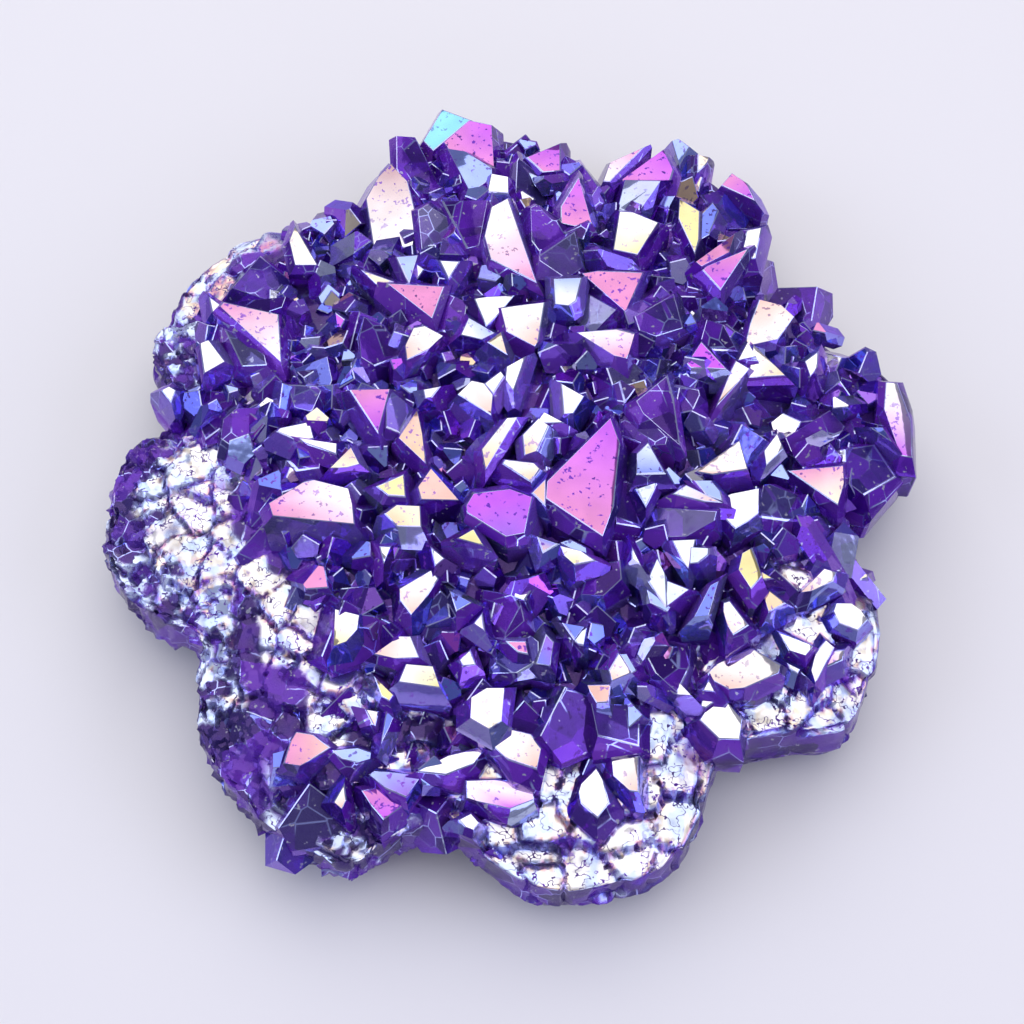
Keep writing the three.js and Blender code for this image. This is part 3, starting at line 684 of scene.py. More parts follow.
def foil_share(points, open_gaps=False):
    """How much of each place is foil-like crust, from 0 to 1, with gaps left open or not."""
    x, y, z = points.T
    share = np.hypot(x, y) / outline_radius(x, y)
    ragged = sum(reach * ripple(points, size, seed) for reach, size, seed in FOIL_RAGGED)
    total = np.zeros(len(points))
    gaps = ripple(points, *FOIL_GAPS)
    for start, end, inner, low, least in FOIL_ARCS:
        inside = arc_share(x, y, (start, end), FOIL_INNER)
        top = smoothstep(inner - FOIL_EASE, inner + FOIL_EASE, share + ragged)
        above = smoothstep(low - FOOT_EASE, low + FOOT_EASE, z + FOOT_RAGGED * ragged)
        closed = smoothstep(least - GAP_EASE[0], least + GAP_EASE[1], gaps) if open_gaps else 1.0
        total = np.maximum(total, inside * top * above * closed)
    return total


def grit_share(points):
    """How much of each place is the gritty rim, from 0 to 1."""
    x, y = points.T[:2]
    inside = arc_share(x, y, GRIT_ARC)
    share = np.hypot(x, y) / outline_radius(x, y) + GRIT_EASE * ripple(points, *GRIT_RAGGED)
    return inside * smoothstep(GRIT_START, GRIT_START + GRIT_EASE, share)


def cell_tilt(points, middle, own):
    """How high each place lies in its cell, as each cell is tilted its own way."""
    return np.sum((points - middle) * (own[:, 1:] * 2 - 1), axis=1)


def crust_lift(points, foil):
    """How far the crust stands out at each place, how far that is then raised to make the
    plates level, and how open the cracks are: pillow-like plates with small tilted chips where
    it is foil-like, and gentle waves elsewhere."""
    grit = grit_share(points)
    warp = [ripple(points, *kind) for kind in WARPS]
    warped = points + WARP_REACH * np.stack(warp, axis=1)
    middle, own, gap = cells(warped, *PLATES)
    tilt = PLATE_TILT * cell_tilt(warped, middle, own)
    level = tip_height(middle[:, 0], middle[:, 1]) - CRUST_DEPTH + PLATE_RISE - points[:, 2]
    level = PLATE_LEVEL * foil * level * smoothstep(*LEVEL_START, points[:, 2])
    pillow = (1 - grit) * PLATE_LIFT * own[:, 0] * smoothstep(0, PILLOW_EDGE, gap) + tilt
    crack = np.exp(-((gap / CRACK_WIDTH) ** 2))
    middle, own, _ = cells(warped, *CHIPS)
    chips = CHIP_TILT * cell_tilt(warped, middle, own)
    chips *= 1 + (GRIT_TILT - 1) * grit
    crack = np.maximum(crack, grit * (own[:, 0] < GRIT_BARE))
    creases = -CREASE_LIFT * np.abs(ripple(points, *CREASES))
    grain = GRAIN_LIFT * ripple(points, *GRAIN)
    rough = pillow + chips + creases + grain - CRACK_DEPTH * crack - FOIL_SINK
    smooth = WAVE_LIFT * ripple(points, *WAVES) + RIPPLE_LIFT * ripple(points, *RIPPLES)
    return foil * rough + (1 - foil) * smooth, level, crack


def crust_top(x, y, outline):
    """The height of the crust before it is lifted: it sinks towards the petals' notches."""
    notch = smoothstep(-PETAL_RADIUS, -NOTCH_RADIUS, -outline)
    sink = NOTCH_SINK * notch * (np.hypot(x, y) / outline) ** NOTCH_POWER
    return tip_height(x, y) - CRUST_DEPTH - sink


def wall_rings():
    """Rings of points up the wall, and then over the rounded shoulder to the top's edge."""
    heights = np.linspace(0, WALL[-1][0], WALL_STEPS)
    insets = np.interp(heights, *zip(*WALL))
    edge = curve_points(RIM_STEPS)
    reach = np.hypot(*edge.T)
    ring = edge / reach[:, None]
    rings = [
        np.column_stack([ring * (reach - inset)[:, None], np.full(RIM_STEPS, height)])
        for height, inset in zip(heights, insets)
    ]
    x, y = (ring * (reach - SHOULDER_INSET)[:, None]).T
    top = np.column_stack([x, y, crust_top(x, y, reach)])
    last = rings[-1]
    under, over = SHOULDER_CORNER
    corner = np.column_stack([last[:, :2], np.maximum(top[:, 2] - under, last[:, 2] + over)])
    for t in np.linspace(0, 1, SHOULDER_STEPS + 1)[1:]:
        rings.append((1 - t) ** 2 * last + 2 * t * (1 - t) * corner + t**2 * top)
    return rings


def top_places(rim):
    """The rim's points, then points spread over the inside on two jittered grids."""
    draw = np.random.default_rng(GRID_SEED)
    places = [rim]
    for step, wants_foil in ((FINE_STEP, True), (COARSE_STEP, False)):
        line = np.arange(-GRID_REACH, GRID_REACH, step)
        x, y = (grid.ravel() for grid in np.meshgrid(line, line))
        x = x + draw.uniform(-GRID_JITTER, GRID_JITTER, len(x)) * step
        y = y + draw.uniform(-GRID_JITTER, GRID_JITTER, len(y)) * step
        z = np.maximum(tip_height(x, y) - CRUST_DEPTH, TOP_LEAST)
        foil = foil_share(np.column_stack([x, y, z])) > FINE_OVER
        inside = np.hypot(x, y) < outline_radius(x, y) - SHOULDER_INSET - GRID_MARGIN * step
        places.append(np.column_stack([x, y])[inside & (foil == wants_foil)])
    return np.concatenate(places)


def join_crust(rings):
    """The crust's vertices and faces: the wall, the top and the flat base."""
    faces = []
    for row in range(len(rings) - 1):
        for step in range(RIM_STEPS):
            after = (step + 1) % RIM_STEPS
            a, b = row * RIM_STEPS + step, row * RIM_STEPS + after
            faces.append((a, b, b + RIM_STEPS, a + RIM_STEPS))
    rim = [(step, (step + 1) % RIM_STEPS) for step in range(RIM_STEPS)]
    places = [Vector(place) for place in top_places(rings[-1][:, :2])]
    flat, _, triangles, came_from = geometry.delaunay_2d_cdt(places, rim, [], 1, TINY)[:4]
    x, y = np.array([tuple(v) for v in flat]).T
    z = crust_top(x, y, outline_radius(x, y))
    # The triangles' points on the rim are the last ring's.
    last = (len(rings) - 1) * RIM_STEPS
    number = {}
    inner = []
    for index, sources in enumerate(came_from):
        on_rim = [source for source in sources if source < RIM_STEPS]
        if on_rim:
            number[index] = last + on_rim[0]
        else:
            number[index] = last + RIM_STEPS + len(inner)
            inner.append((x[index], y[index], z[index]))
    faces += [tuple(number[index] for index in triangle) for triangle in triangles]
    faces.append(tuple(reversed(range(RIM_STEPS))))
    return np.concatenate([*rings, inner]), faces


def make_crust():
    """The slab, lifted to plates and waves, with the share of bare metal at its corners."""
    vertices, faces = join_crust(wall_rings())
    piece = mesh_object("crust", vertices, faces)
    mesh = piece.data
    normals = read_rows(mesh.vertices, "normal", np.float32, 3)
    lift, level, crack = crust_lift(vertices, foil_share(vertices))
    corner = read_rows(mesh.loops, "vertex_index", np.int32)
    metal = (foil_share(vertices, open_gaps=True) * (1 - crack)).astype(np.float32)
    set_values(mesh, "foil", "FLOAT", "CORNER", metal[corner])
    lift = lift * smoothstep(*LIFT_START, vertices[:, 2])
    vertices = vertices + normals * lift[:, None]
    vertices[:, 2] += level
    mesh.vertices.foreach_set("co", vertices.astype(np.float32).ravel())
    mesh.update()
    return piece


# ---- Crystals ------------------------------------------------------------------------------------


def slanted(angle, around):
    polar, turn = math.radians(angle), math.radians(around)
    return (math.sin(polar) * math.cos(turn), math.sin(polar) * math.sin(turn), math.cos(polar))


def side_spread(side, stands):
    if stands:
        return OTHER_SIDES
    if side == 0:
        return FIRST_SIDE
    return NEAR_SIDES if side in (1, 5) else OTHER_SIDES


def crystal_planes(radius, length, stands, draw):
    """Rows of (normal, offset, face number): the base, the sides, the tip's faces and the worn
    ridges between those."""
    planes = [((0, 0, -1), length, BASE_FACE)]
    for side in range(6):
        around = 60 * side
        spread = between(side_spread(side, stands), draw)
        planes.append((slanted(90, around), spread * radius, side))
        wobble = TIP_FACE_WOBBLE * (2 * draw() - 1)
        swing = between(TIP_FACE_SWING, draw) * ((180 > around) - (180 < around))
        if side == 0:
            planes.append((slanted(TIP_FACE_ANGLE, 0), 0.0, LEVEL_FACE))
        elif side % 2 == 0:
            planes.append((slanted(TIP_FACE_ANGLE + wobble, around + swing), 0.0, LEVEL_FACE + side))
        elif radius > MINOR_FACE_RADIUS:
            shift = between(MINOR_FACE_SHIFT, draw) * radius
            planes.append((slanted(TIP_FACE_ANGLE, around), shift, LEVEL_FACE + side))
    tip_faces = [plane for plane in planes if LEVEL_FACE <= plane[2] < BASE_FACE]
    for index, (normal, offset, face) in enumerate(tip_faces):
        before = tip_faces[index - 1]
        ridge = np.add(normal, before[0])
        wide = np.linalg.norm(ridge)
        reach = (offset + before[1]) / wide - RIDGE_WEAR
        planes.append((tuple(ridge / wide), reach, WORN_EDGE + face))
    return planes


def corners_behind(planes):
    """The corners of the solid that lies behind all the planes."""
    normals = np.array([p[0] for p in planes])
    offsets = np.array([p[1] for p in planes])
    count = len(planes)
    trios = np.array(
        [(a, b, c) for a in range(count) for b in range(a + 1, count) for c in range(b + 1, count)]
    )
    systems = normals[trios]
    solvable = np.abs(np.linalg.det(systems)) > TINY
    points = np.linalg.solve(systems[solvable], offsets[trios][solvable][..., None])[..., 0]
    points = points[np.all(points @ normals.T < offsets + TINY, axis=1)]
    corners = []
    for point in points:
        if all(np.linalg.norm(point - other) > SAME_CORNER for other in corners):
            corners.append(point)
    return np.array(corners)


def crystal_turn(heading, lean, spin):
    turn, tilt = math.radians(heading), math.radians(lean)
    forwards = np.array([math.cos(turn), math.sin(turn), 0.0])
    up = np.array([0.0, 0.0, 1.0])
    axis = forwards * math.sin(tilt) + up * math.cos(tilt)
    face = -forwards * math.cos(tilt) + up * math.sin(tilt)
    basis = np.column_stack([face, np.cross(axis, face), axis])
    s, c = math.sin(math.radians(spin)), math.cos(math.radians(spin))
    return basis @ np.array([[c, -s, 0], [s, c, 0], [0, 0, 1]])


def root_length(x, y, radius, axis, depth):
    length = (depth + ROOT_COVER) / axis[2]
    for _ in range(ROOT_TRIES):
        root_x, root_y = x - axis[0] * length, y - axis[1] * length
        if math.hypot(root_x, root_y) < cad_outline_radius(root_x, root_y) - ROOT_MARGIN * radius:
            break
        length *= ROOT_CUT
    return max(length, SHORTEST_CRYSTAL * radius)


# A tip's own colour fades over this many radii.
COLOUR_REACH = 1.9


def make_crystal(row, tip_z, depth, draw):
    """A crystal's corners in the plan, its planes' normals and their face numbers."""
    x, y, radius, heading, lean = row[:5]
    spin = row[5] if len(row) > 5 else 0
    turn = crystal_turn(heading, lean, spin)
    length = root_length(x, y, radius, turn[:, 2], depth)
    planes = crystal_planes(radius, length, lean < STANDING_LEAN, draw)
    tip = np.array([x, y, tip_z])
    corners = corners_behind(planes) @ turn.T + tip
    return {
        "tip": tip,
        "size": COLOUR_REACH * radius,
        "lean": lean,
        "coat": row[6] if len(row) > 6 else "v",
        "corners": corners,
        "normals": np.array([p[0] for p in planes]) @ turn.T,
        "numbers": [p[2] for p in planes],
    }


def read_place(across, down, rise):
    """The place in the plan that a pixel shows, on a surface that lies over the dome by rise."""
    elevation = math.radians(CAMERA_ELEVATION)
    pixels = PICTURE_SIDE / 2 / math.tan(math.radians(CAMERA_ANGLE / 2))
    back = np.array([0, -math.cos(elevation), math.sin(elevation)])
    up = np.array([0, math.sin(elevation), math.cos(elevation)])
    camera = TARGET_PLACE + back * CAMERA_DISTANCE
    ray = (TARGET_PIXEL[1] - down) / pixels * up - back
    ray[0] = (across - TARGET_PIXEL[0]) / pixels
    place = np.array(TARGET_PLACE)
    for _ in range(READING_STEPS):
        height = tip_height(place[0], place[1]) + rise
        place = camera + ray * (height - camera[2]) / ray[2]
    return place[:2]


def read_facet(coat, pixels, rise, part=(0, 0, 1)):
    """A facet's coat and its corners in the plan, the tip first and then anticlockwise."""
    left, top, larger = part
    corners = np.array(pixels).reshape(-1, 2) / larger + (left, top)
    places = np.round([read_place(*corner, rise) for corner in corners], DECIMALS)
    ahead = np.roll(places, -1, axis=0)
    if np.sum(places[:, 0] * ahead[:, 1] - ahead[:, 0] * places[:, 1]) < 0:
        places[1:] = places[:0:-1].copy()
    return coat, places


def make_facet(coat, places, draw):
    """A crystal with a level face whose corners are given, as make_crystal returns one."""
    middle = places.mean(axis=0)
    rise = BARE_RISE if coat == "v" else FACET_RISE
    height = float(tip_height(*middle)) + between(rise, draw)
    height -= FACET_FOIL_SINK * foil_share(np.array([[*middle, height]]))[0]
    slope = FACET_SLOPE * np.array([2 * draw() - 1, 2 * draw() - 1])
    if coat == "v":
        slope[0] = between(BARE_SLOPE, draw) * (1 if draw() > 0.5 else -1)
    heights = height - (places - middle) @ slope
    upright = np.array([*slope, 1.0])
    planes = [
        (upright, upright @ (*middle, height), LEVEL_FACE),
        (np.array([0.0, 0.0, -1.0]), FACET_DEPTH - height, BASE_FACE),
    ]
    outs = []
    for index, start in enumerate(places):
        along = places[(index + 1) % len(places)] - start
        out = np.array([along[1], -along[0]]) / np.hypot(*along)
        outs.append(out)
        height = (heights[index] + heights[index - len(places) + 1]) / 2
        edge = np.array([*(start + along / 2), height])
        polar = math.radians(between(FACET_SIDES, draw))
        side = np.array([*(out * math.sin(polar)), math.cos(polar)])
        planes.append((side, side @ edge, SLANTED_FACE + index))
        wall = np.array([*out, 0.0])
        planes.append((wall, wall @ edge + between(FACET_WALL, draw), SIDE_WALL + index))
        worn = side + upright / np.linalg.norm(upright)
        worn /= np.linalg.norm(worn)
        planes.append((worn, worn @ edge - between(FACET_WEAR, draw), WORN_EDGE + index))
    # Sharp corners are cut off under the level face, so that they don't run out into needles.
    for index, place in enumerate(places):
        out = outs[index] + outs[index - 1]
        wall = np.array([*out, 0.0]) / np.hypot(*out)
        planes.append((wall, wall[:2] @ place + FACET_WALL[1], CORNER_WALL + index))
    lengths = [np.linalg.norm(normal) for normal, _, _ in planes]
    planes = [(n / length, o / length, number) for (n, o, number), length in zip(planes, lengths)]
    return {
        "tip": np.array([*places[0], heights[0]]),
        "size": np.hypot(*(places - places[0]).T).max(),
        "lean": 0,
        "coat": coat,
        "corners": corners_behind(planes),
        "normals": np.array([normal for normal, _, _ in planes]),
        "numbers": [number for _, _, number in planes],
    }


FACETS = [read_facet(coat, row, FLASH_RISE, PARTS[part]) for part, coat, *row in FLASHES]
FACETS += [read_facet("v", row, BARE_FACE_RISE) for row in BARE_FACES]


def under_facet(x, y):
    for _, places in FACETS:
        along = np.roll(places, -1, axis=0) - places
        out = np.column_stack([along[:, 1], -along[:, 0]]) / np.hypot(*along.T)[:, None]
        if np.all(np.sum(((x, y) - places) * out, axis=1) < FACET_MARGIN):
            return True
    return False


def sink_covered(crystals):
    for crystal in crystals:
        foil = foil_share(np.array([crystal["tip"]]))[0]
        if foil > FOIL_COVER or under_facet(*crystal["tip"][:2]):
            crystal["tip"][2] -= COVERED_SINK
            crystal["corners"][:, 2] -= COVERED_SINK
    return crystals


def crystal_middle(row):
    x, y, radius, heading, lean = row[:5]
    back = MIDDLE_BACK * radius * math.sin(math.radians(lean))
    turn = math.radians(heading)
    return x - back * math.cos(turn), y - back * math.sin(turn), radius


def make_sunk(row, sink, draw):
    """A crystal whose tip stands under the dome by sink."""
    return make_crystal(row, tip_height(row[0], row[1]) - sink, CRUST_DEPTH - sink, draw)


def make_cad_crystals():
    """The crystals of the CAD source, with the same draws in the same order."""
    draw = make_random(CAD_SEEDS[0])
    crystals = [make_sunk(row, between(TIP_SINK, draw), draw) for row in CRYSTALS]
    draw = make_random(CAD_SEEDS[1])
    taken = [crystal_middle(row) for row in CRYSTALS]
    fill = 0
    for _ in range(FILL_TRIES):
        if fill == FILL_COUNT:
            break
        distance = FILL_REACH * math.sqrt(draw())
        direction = 2 * math.pi * draw()
        radius = between(FILL_RADIUS, draw)
        heading = 360 * draw()
        lean = between(FILL_LEAN, draw)
        spin = 60 * draw()
        sink = between(FILL_SINK, draw)
        x, y = distance * math.cos(direction), distance * math.sin(direction)
        row = (x, y, radius, heading, lean, spin)
        mx, my, _ = crystal_middle(row)
        if all(math.hypot(ox - mx, oy - my) > FILL_SPACING * (r + radius) for ox, oy, r in taken):
            taken.append((mx, my, radius))
            crystals.append(make_sunk(row, sink, draw))
            fill += 1
    return crystals


def crystal_mesh(crystal, number, bm, layers):
    """Adds one crystal to a mesh being built, with its number and face numbers on its faces."""
    corners = [bm.verts.new(corner) for corner in crystal["corners"]]
    made = bmesh.ops.convex_hull(bm, input=corners)
    faces = [item for item in made["geom"] if isinstance(item, bmesh.types.BMFace)]
    for face in faces:
        face.normal_update()
        side = int(np.argmax(crystal["normals"] @ np.array(face.normal)))
        face[layers[0]] = number
        face[layers[1]] = crystal["numbers"][side]


# Crystals this far apart don't touch.
APART = 0.05


def make_batches(crystals):
    """Groups of crystals that don't touch each other, so that each group is one clean solid."""
    middles = [crystal["corners"].mean(axis=0) for crystal in crystals]
    reaches = [
        np.linalg.norm(crystal["corners"] - middle, axis=1).max()
        for crystal, middle in zip(crystals, middles)
    ]
    batches = []
    for number in range(len(crystals)):
        for batch in batches:
            if all(
                math.dist(middles[other], middles[number]) > reaches[other] + reaches[number] + APART
                for other in batch
            ):
                batch.append(number)
                break
        else:
            batches.append([number])
    return batches


def batch_object(crystals, batch, before):
    """A batch of crystals as one object, numbered on from the crystals before them."""
    mesh = bpy.data.meshes.new("batch")
    bm = bmesh.new()
    layers = (bm.faces.layers.int.new("crystal"), bm.faces.layers.int.new("side"))
    for number in batch:
        crystal_mesh(crystals[number], before + number + 1, bm, layers)
    bmesh.ops.recalc_face_normals(bm, faces=bm.faces)
    bm.to_mesh(mesh)
    bm.free()
    return add_object("batch", mesh)


def union(base, other):
    """base becomes the union of both, and other is removed."""
    modifier = base.modifiers.new("union", "BOOLEAN")
    modifier.operation = "UNION"
    modifier.solver = "MANIFOLD"
    modifier.object = other
    graph = bpy.context.evaluated_depsgraph_get()
    mesh = bpy.data.meshes.new_from_object(base.evaluated_get(graph))
    base.modifiers.clear()
    old = base.data
    base.data = mesh
    bpy.data.meshes.remove(old)
    bpy.data.objects.remove(other)


def add_crystals(base, crystals, before=0):
    for batch in make_batches(crystals):
        union(base, batch_object(crystals, batch, before))


ABOVE_ALL = 40


def make_small_crystals(tree):
    """The listed small crystals, then tiny ones wherever the surface lies well under the tips."""
    draw = make_random(SMALL_SEED)
    crystals = [make_sunk(row, between(SMALL_SINK, draw), draw) for row in SMALL_CRYSTALS]
    sink_covered(crystals)
    taken = [(*c["tip"], c["size"] / COLOUR_REACH) for c in crystals]
    count = 0
    for _ in range(TINY_TRIES):
        if count == TINY_COUNT:
            break
        direction = 2 * math.pi * draw()
        share = TINY_REACH * math.sqrt(draw())
        radius = between(TINY_RADIUS, draw)
        heading = 360 * draw()
        lean = between(TINY_LEAN, draw)
        spin = 60 * draw()
        rise = between(TINY_RISE, draw)
        shade = draw()
        x, y = math.cos(direction), math.sin(direction)
        reach = share * float(outline_radius(np.array(x), np.array(y)))
        x, y = x * reach, y * reach
        top = float(tip_height(x, y))
        hit = tree.ray_cast(Vector((x, y, ABOVE_ALL)), Vector((0, 0, -1)))
        if hit[0] is None or top - hit[0].z < TINY_GAP:
            continue
        if foil_share(np.array([[x, y, hit[0].z]]))[0] > FOIL_COVER:
            continue
        z = min(hit[0].z + rise * radius, top)
        near = (math.dist((x, y, z), t[:3]) < TINY_SPACING * (t[3] + radius) for t in taken)
        if any(near):
            continue
        row = (x, y, radius, heading, lean, spin, pick(TINY_COATS, shade))
        taken.append((x, y, z, radius))
        crystals.append(make_crystal(row, z, z - hit[0].z + TINY_ROOT, draw))
        count += 1
    return crystals


SHORTEST_EDGE = 0.002


def largest_shell(mesh):
    """Keeps the outer shell alone, and closes up the shortest edges."""
    bm = bmesh.new()
    bm.from_mesh(mesh)
    bmesh.ops.remove_doubles(bm, verts=bm.verts, dist=SHORTEST_EDGE)
    seen = set()
    shells = []
    for start in bm.faces:
        if start in seen:
            continue
        shell, queue = [], [start]
        seen.add(start)
        while queue:
            face = queue.pop()
            shell.append(face)
            for edge in face.edges:
                for other in edge.link_faces:
                    if other not in seen:
                        seen.add(other)
                        queue.append(other)
        shells.append(shell)
    shells.sort(key=len, reverse=True)
    doomed = [face for shell in shells[1:] for face in shell]
    bmesh.ops.delete(bm, geom=doomed, context="FACES")
    bm.to_mesh(mesh)
    bm.free()


# ---- Building -----------------------------------------------------------------------------------


def make_flower():
    """The crust and its crystals as one solid, and the crystals by their numbers."""
    flower = make_crust()
    flower.name = "aura_amethyst"
    for name in ("crystal", "side"):
        nothing = np.zeros(len(flower.data.polygons), np.int32)
        set_values(flower.data, name, "INT", "FACE", nothing)
    crystals = [crystal for crystal in make_cad_crystals() if crystal["lean"] < LEVEL_LEAN]
    sink_covered(crystals)
    draw = make_random(FACET_SEED)
    crystals += [make_facet(coat, places, draw) for coat, places in FACETS]
    add_crystals(flower, crystals)
    graph = bpy.context.evaluated_depsgraph_get()
    small = make_small_crystals(BVHTree.FromObject(flower, graph))
    add_crystals(flower, small, len(crystals))
    largest_shell(flower.data)
    return flower, crystals + small


# ---- What each face is, for the material ------------------------------------------------------


def face_rows(mesh):
    """For each corner: its vertex's index and its face's index, and the vertices' places."""
    vertex = read_rows(mesh.loops, "vertex_index", np.int32)
    places = read_rows(mesh.vertices, "co", np.float32, 3)
    sizes = read_rows(mesh.polygons, "loop_total", np.int32)
    face = np.repeat(np.arange(len(sizes)), sizes)
    return vertex, face, places.astype(float)


QUIET_COATS = "vvvlbbbaaass"
QUIET_COAT = (0.05, 0.85)
QUIET_POWER = 1.4
# The plain faces of crystals over this size have less coat.
LARGE = 4.4
LARGE_COAT = 0.3
WORN_COAT = 0.75
# The crust's coat changes with its slope, in degrees from level, and fades where it is steep.
CRUST_COATS = "wwcopsab"
CRUST_TILTS = (0, 20, 26, 32, 38, 46, 58, 72)
CRUST_TILT_SPREAD = 12
CRUST_FADE = (58, 86)
# Between these directions the crust has the colours that are steeper elsewhere.
ROSY_ARC = (118, 170)
ROSY_TILT = 15
SILVER_CHIPS = 0.72
GRIT_SILVER = 0.5
CRUST_COAT = 0.08
# The violet under the coat, from 0 for the deepest to 1: bare level faces are painted deeper, as painted
# shade.
BARE_PAINTED_SHADE = 0.4
CRUST_BODY = 0.15
# Faces with more gritty corners than this are flat.
GRITTY_CORNERS = 1.5
SHARP_ANGLE = 32


def blend(a, b, share):
    return a * (1 - share) + b * share


def quiet_faces(own, worn, large):
    """The colour and the amount of the coat on the crystals' plain faces and worn edges."""
    colour = np.array([COATS[pick(QUIET_COATS, share)] for share in own[:, 0]])
    colour[worn] = COATS["s"]
    amount = QUIET_COAT[0] + (QUIET_COAT[1] - QUIET_COAT[0]) * own[:, 1] ** QUIET_POWER
    amount *= np.where(large, LARGE_COAT, 1.0)
    amount[worn] = WORN_COAT
    return colour, amount


def crust_coat(mesh, places):
    """The coat's colour on the crust, and how much the slope leaves of it, at each vertex."""
    normal = read_rows(mesh.vertices, "normal", np.float32, 3)
    _, plate, _ = cells(places, *PLATES)
    _, chip, _ = cells(places, *CHIPS)
    tilt = np.degrees(np.arccos(np.clip(normal[:, 2], -1, 1))) + CRUST_TILT_SPREAD * plate[:, 1]
    stage = tilt + ROSY_TILT * arc_share(*places.T[:2], ROSY_ARC)
    colour = np.column_stack(
        [np.interp(stage, CRUST_TILTS, [COATS[c][k] for c in CRUST_COATS]) for k in range(3)]
    )
    colour[chip[:, 2] > SILVER_CHIPS - GRIT_SILVER * grit_share(places)] = COATS["s"]
    return colour, 1 - smoothstep(*CRUST_FADE, tilt)


def paint(mesh, crystals):
    """Writes the coat's colour, how much of it there is, the shade of the violet under it, painted
    darker on bare level faces as painted shade, and the share of foil-like crust."""
    vertex, face, places = face_rows(mesh)
    number = get_values(mesh, "crystal", np.int32)
    side = get_values(mesh, "side", np.int32)
    tip = np.array([(0.0, 0.0, 0.0)] + [c["tip"] for c in crystals])
    size = np.array([1.0] + [c["size"] for c in crystals])
    words = ["v"] + [c["coat"] for c in crystals]
    near = np.array([COATS[word[0]] for word in words])
    far = np.array([COATS[word[-1]] for word in words])
    bare = np.array([word == "v" for word in words])[number]
    is_crystal = number > 0
    own = cell_numbers(np.column_stack([number, side, number * 0]).astype(np.int64), FACE_SEED)
    quiet, quiet_coat = quiet_faces(own, side >= WORN_EDGE, size[number] > LARGE)
    crust, left = crust_coat(mesh, places)
    foil = np.where(is_crystal[face], 0.0, get_values(mesh, "foil", np.float32) * left[vertex])
    # From here on the rows are corners: a crystal's colour runs from its tip outwards.
    owner = number[face]
    distance = np.linalg.norm(places[vertex] - tip[owner], axis=1) / size[owner]
    colour = blend(near[owner], far[owner], np.clip(distance, 0, 1)[:, None])
    flash = (is_crystal & (side == LEVEL_FACE) & ~bare)[face]
    colour = np.where(flash[:, None], colour, quiet[face])
    colour = np.where(is_crystal[face][:, None], colour, crust[vertex])
    # Each face's violet has its own random shade, and bare level faces are painted darker: painted shade.
    body = np.where(bare & (side == LEVEL_FACE), BARE_PAINTED_SHADE * own[:, 2], own[:, 2])
    body = np.where(is_crystal, body, CRUST_BODY)[face]
    coat = np.where(flash, 1.0, quiet_coat[face])
    coat = np.where(is_crystal[face], coat, np.maximum(CRUST_COAT, foil))
    layer = mesh.attributes.new("aura", "FLOAT_COLOR", "CORNER")
    rows = np.column_stack([colour, np.ones(len(colour))]).astype(np.float32)
    layer.data.foreach_set("color", rows.ravel())
    for name, values in (("body", body), ("coat", coat), ("foil", foil)):
        set_values(mesh, name, "FLOAT", "CORNER", values.astype(np.float32))
    gritty = np.bincount(face, weights=grit_share(places)[vertex]) > GRITTY_CORNERS
    mesh.polygons.foreach_set("use_smooth", ~is_crystal & ~gritty)


flower, crystals = make_flower()
paint(flower.data, crystals)
flower.data.set_sharp_from_angle(angle=math.radians(SHARP_ANGLE))
flower.data.transform(Matrix.Scale(MM, 4) @ Matrix.Translation(PLAN_SHIFT))

# ---- Material ----------------------------------------------------------------------------------


def new_node(tree, kind, **values):
    """A node with its settings, and its inputs by name with _ for a space."""
    node = tree.nodes.new(kind)
    for name, value in values.items():
        socket = node.inputs.get(name.replace("_", " "))
        if hasattr(node, name):
            setattr(node, name, value)
        elif isinstance(value, bpy.types.NodeSocket):
            tree.links.new(value, socket)
        else:
            socket.default_value = value
    return node


def calculate(tree, operation, a, b=0.0, c=None, clamp=False):
    node = tree.nodes.new("ShaderNodeMath")
    node.operation = operation
    node.use_clamp = clamp
    for socket, value in zip(node.inputs, (a, b, c)):
        if isinstance(value, bpy.types.NodeSocket):
            tree.links.new(value, socket)
        elif value is not None:
            socket.default_value = value
    return node.outputs[0]


def mix_colours(tree, factor, a, b):
    node = tree.nodes.new("ShaderNodeMix")
    node.data_type = "RGBA"
    for name, value in (("Factor_Float", factor), ("A_Color", a), ("B_Color", b)):
        socket = next(s for s in node.inputs if s.identifier == name)
        if isinstance(value, bpy.types.NodeSocket):
            tree.links.new(value, socket)
        else:
            socket.default_value = value
    return next(s for s in node.outputs if s.identifier == "Result_Color")


def attribute(tree, name, output="Fac"):
    return new_node(tree, "ShaderNodeAttribute", attribute_name=name).outputs[output]


def noise(tree, place, kind):
    scale, detail, rough = kind
    return new_node(
        tree, "ShaderNodeTexNoise", Vector=place, Scale=scale, Detail=detail, Roughness=rough
    ).outputs["Fac"]


def graded(tree, value, limits):
    """0 where a value is at the first limit, 1 at the second, and clamped beyond them."""
    low, high = limits
    return new_node(
        tree, "ShaderNodeMapRange", Value=value, From_Min=low, From_Max=high
    ).outputs["Result"]


def times(tree, a, b):
    return calculate(tree, "MULTIPLY", a, b)


def add_times(tree, base, value, factor):
    return calculate(tree, "MULTIPLY_ADD", value, factor, base)


def rest(tree, value):
    return calculate(tree, "SUBTRACT", 1.0, value)


def channel(tree, colour, name):
    node = new_node(tree, "ShaderNodeSeparateColor", Color=colour)
    return node.outputs[name]


def ramp(tree, factor, stops):
    node = tree.nodes.new("ShaderNodeValToRGB")
    tree.links.new(factor, node.inputs[0])
    elements = node.color_ramp.elements
    while len(elements) < len(stops):
        elements.new(0.5)
    for element, (place, colour) in zip(elements, stops):
        element.position = place
        element.color = (*colour, 1)
    return node.outputs["Color"]


# The violet inside, by how light it is from 0 to 1.
BODY_STOPS = [
    (0.28, (0.04, 0.004, 0.24)),
    (0.48, (0.24, 0.03, 0.88)),
    (0.74, (0.40, 0.09, 1.0)),
]
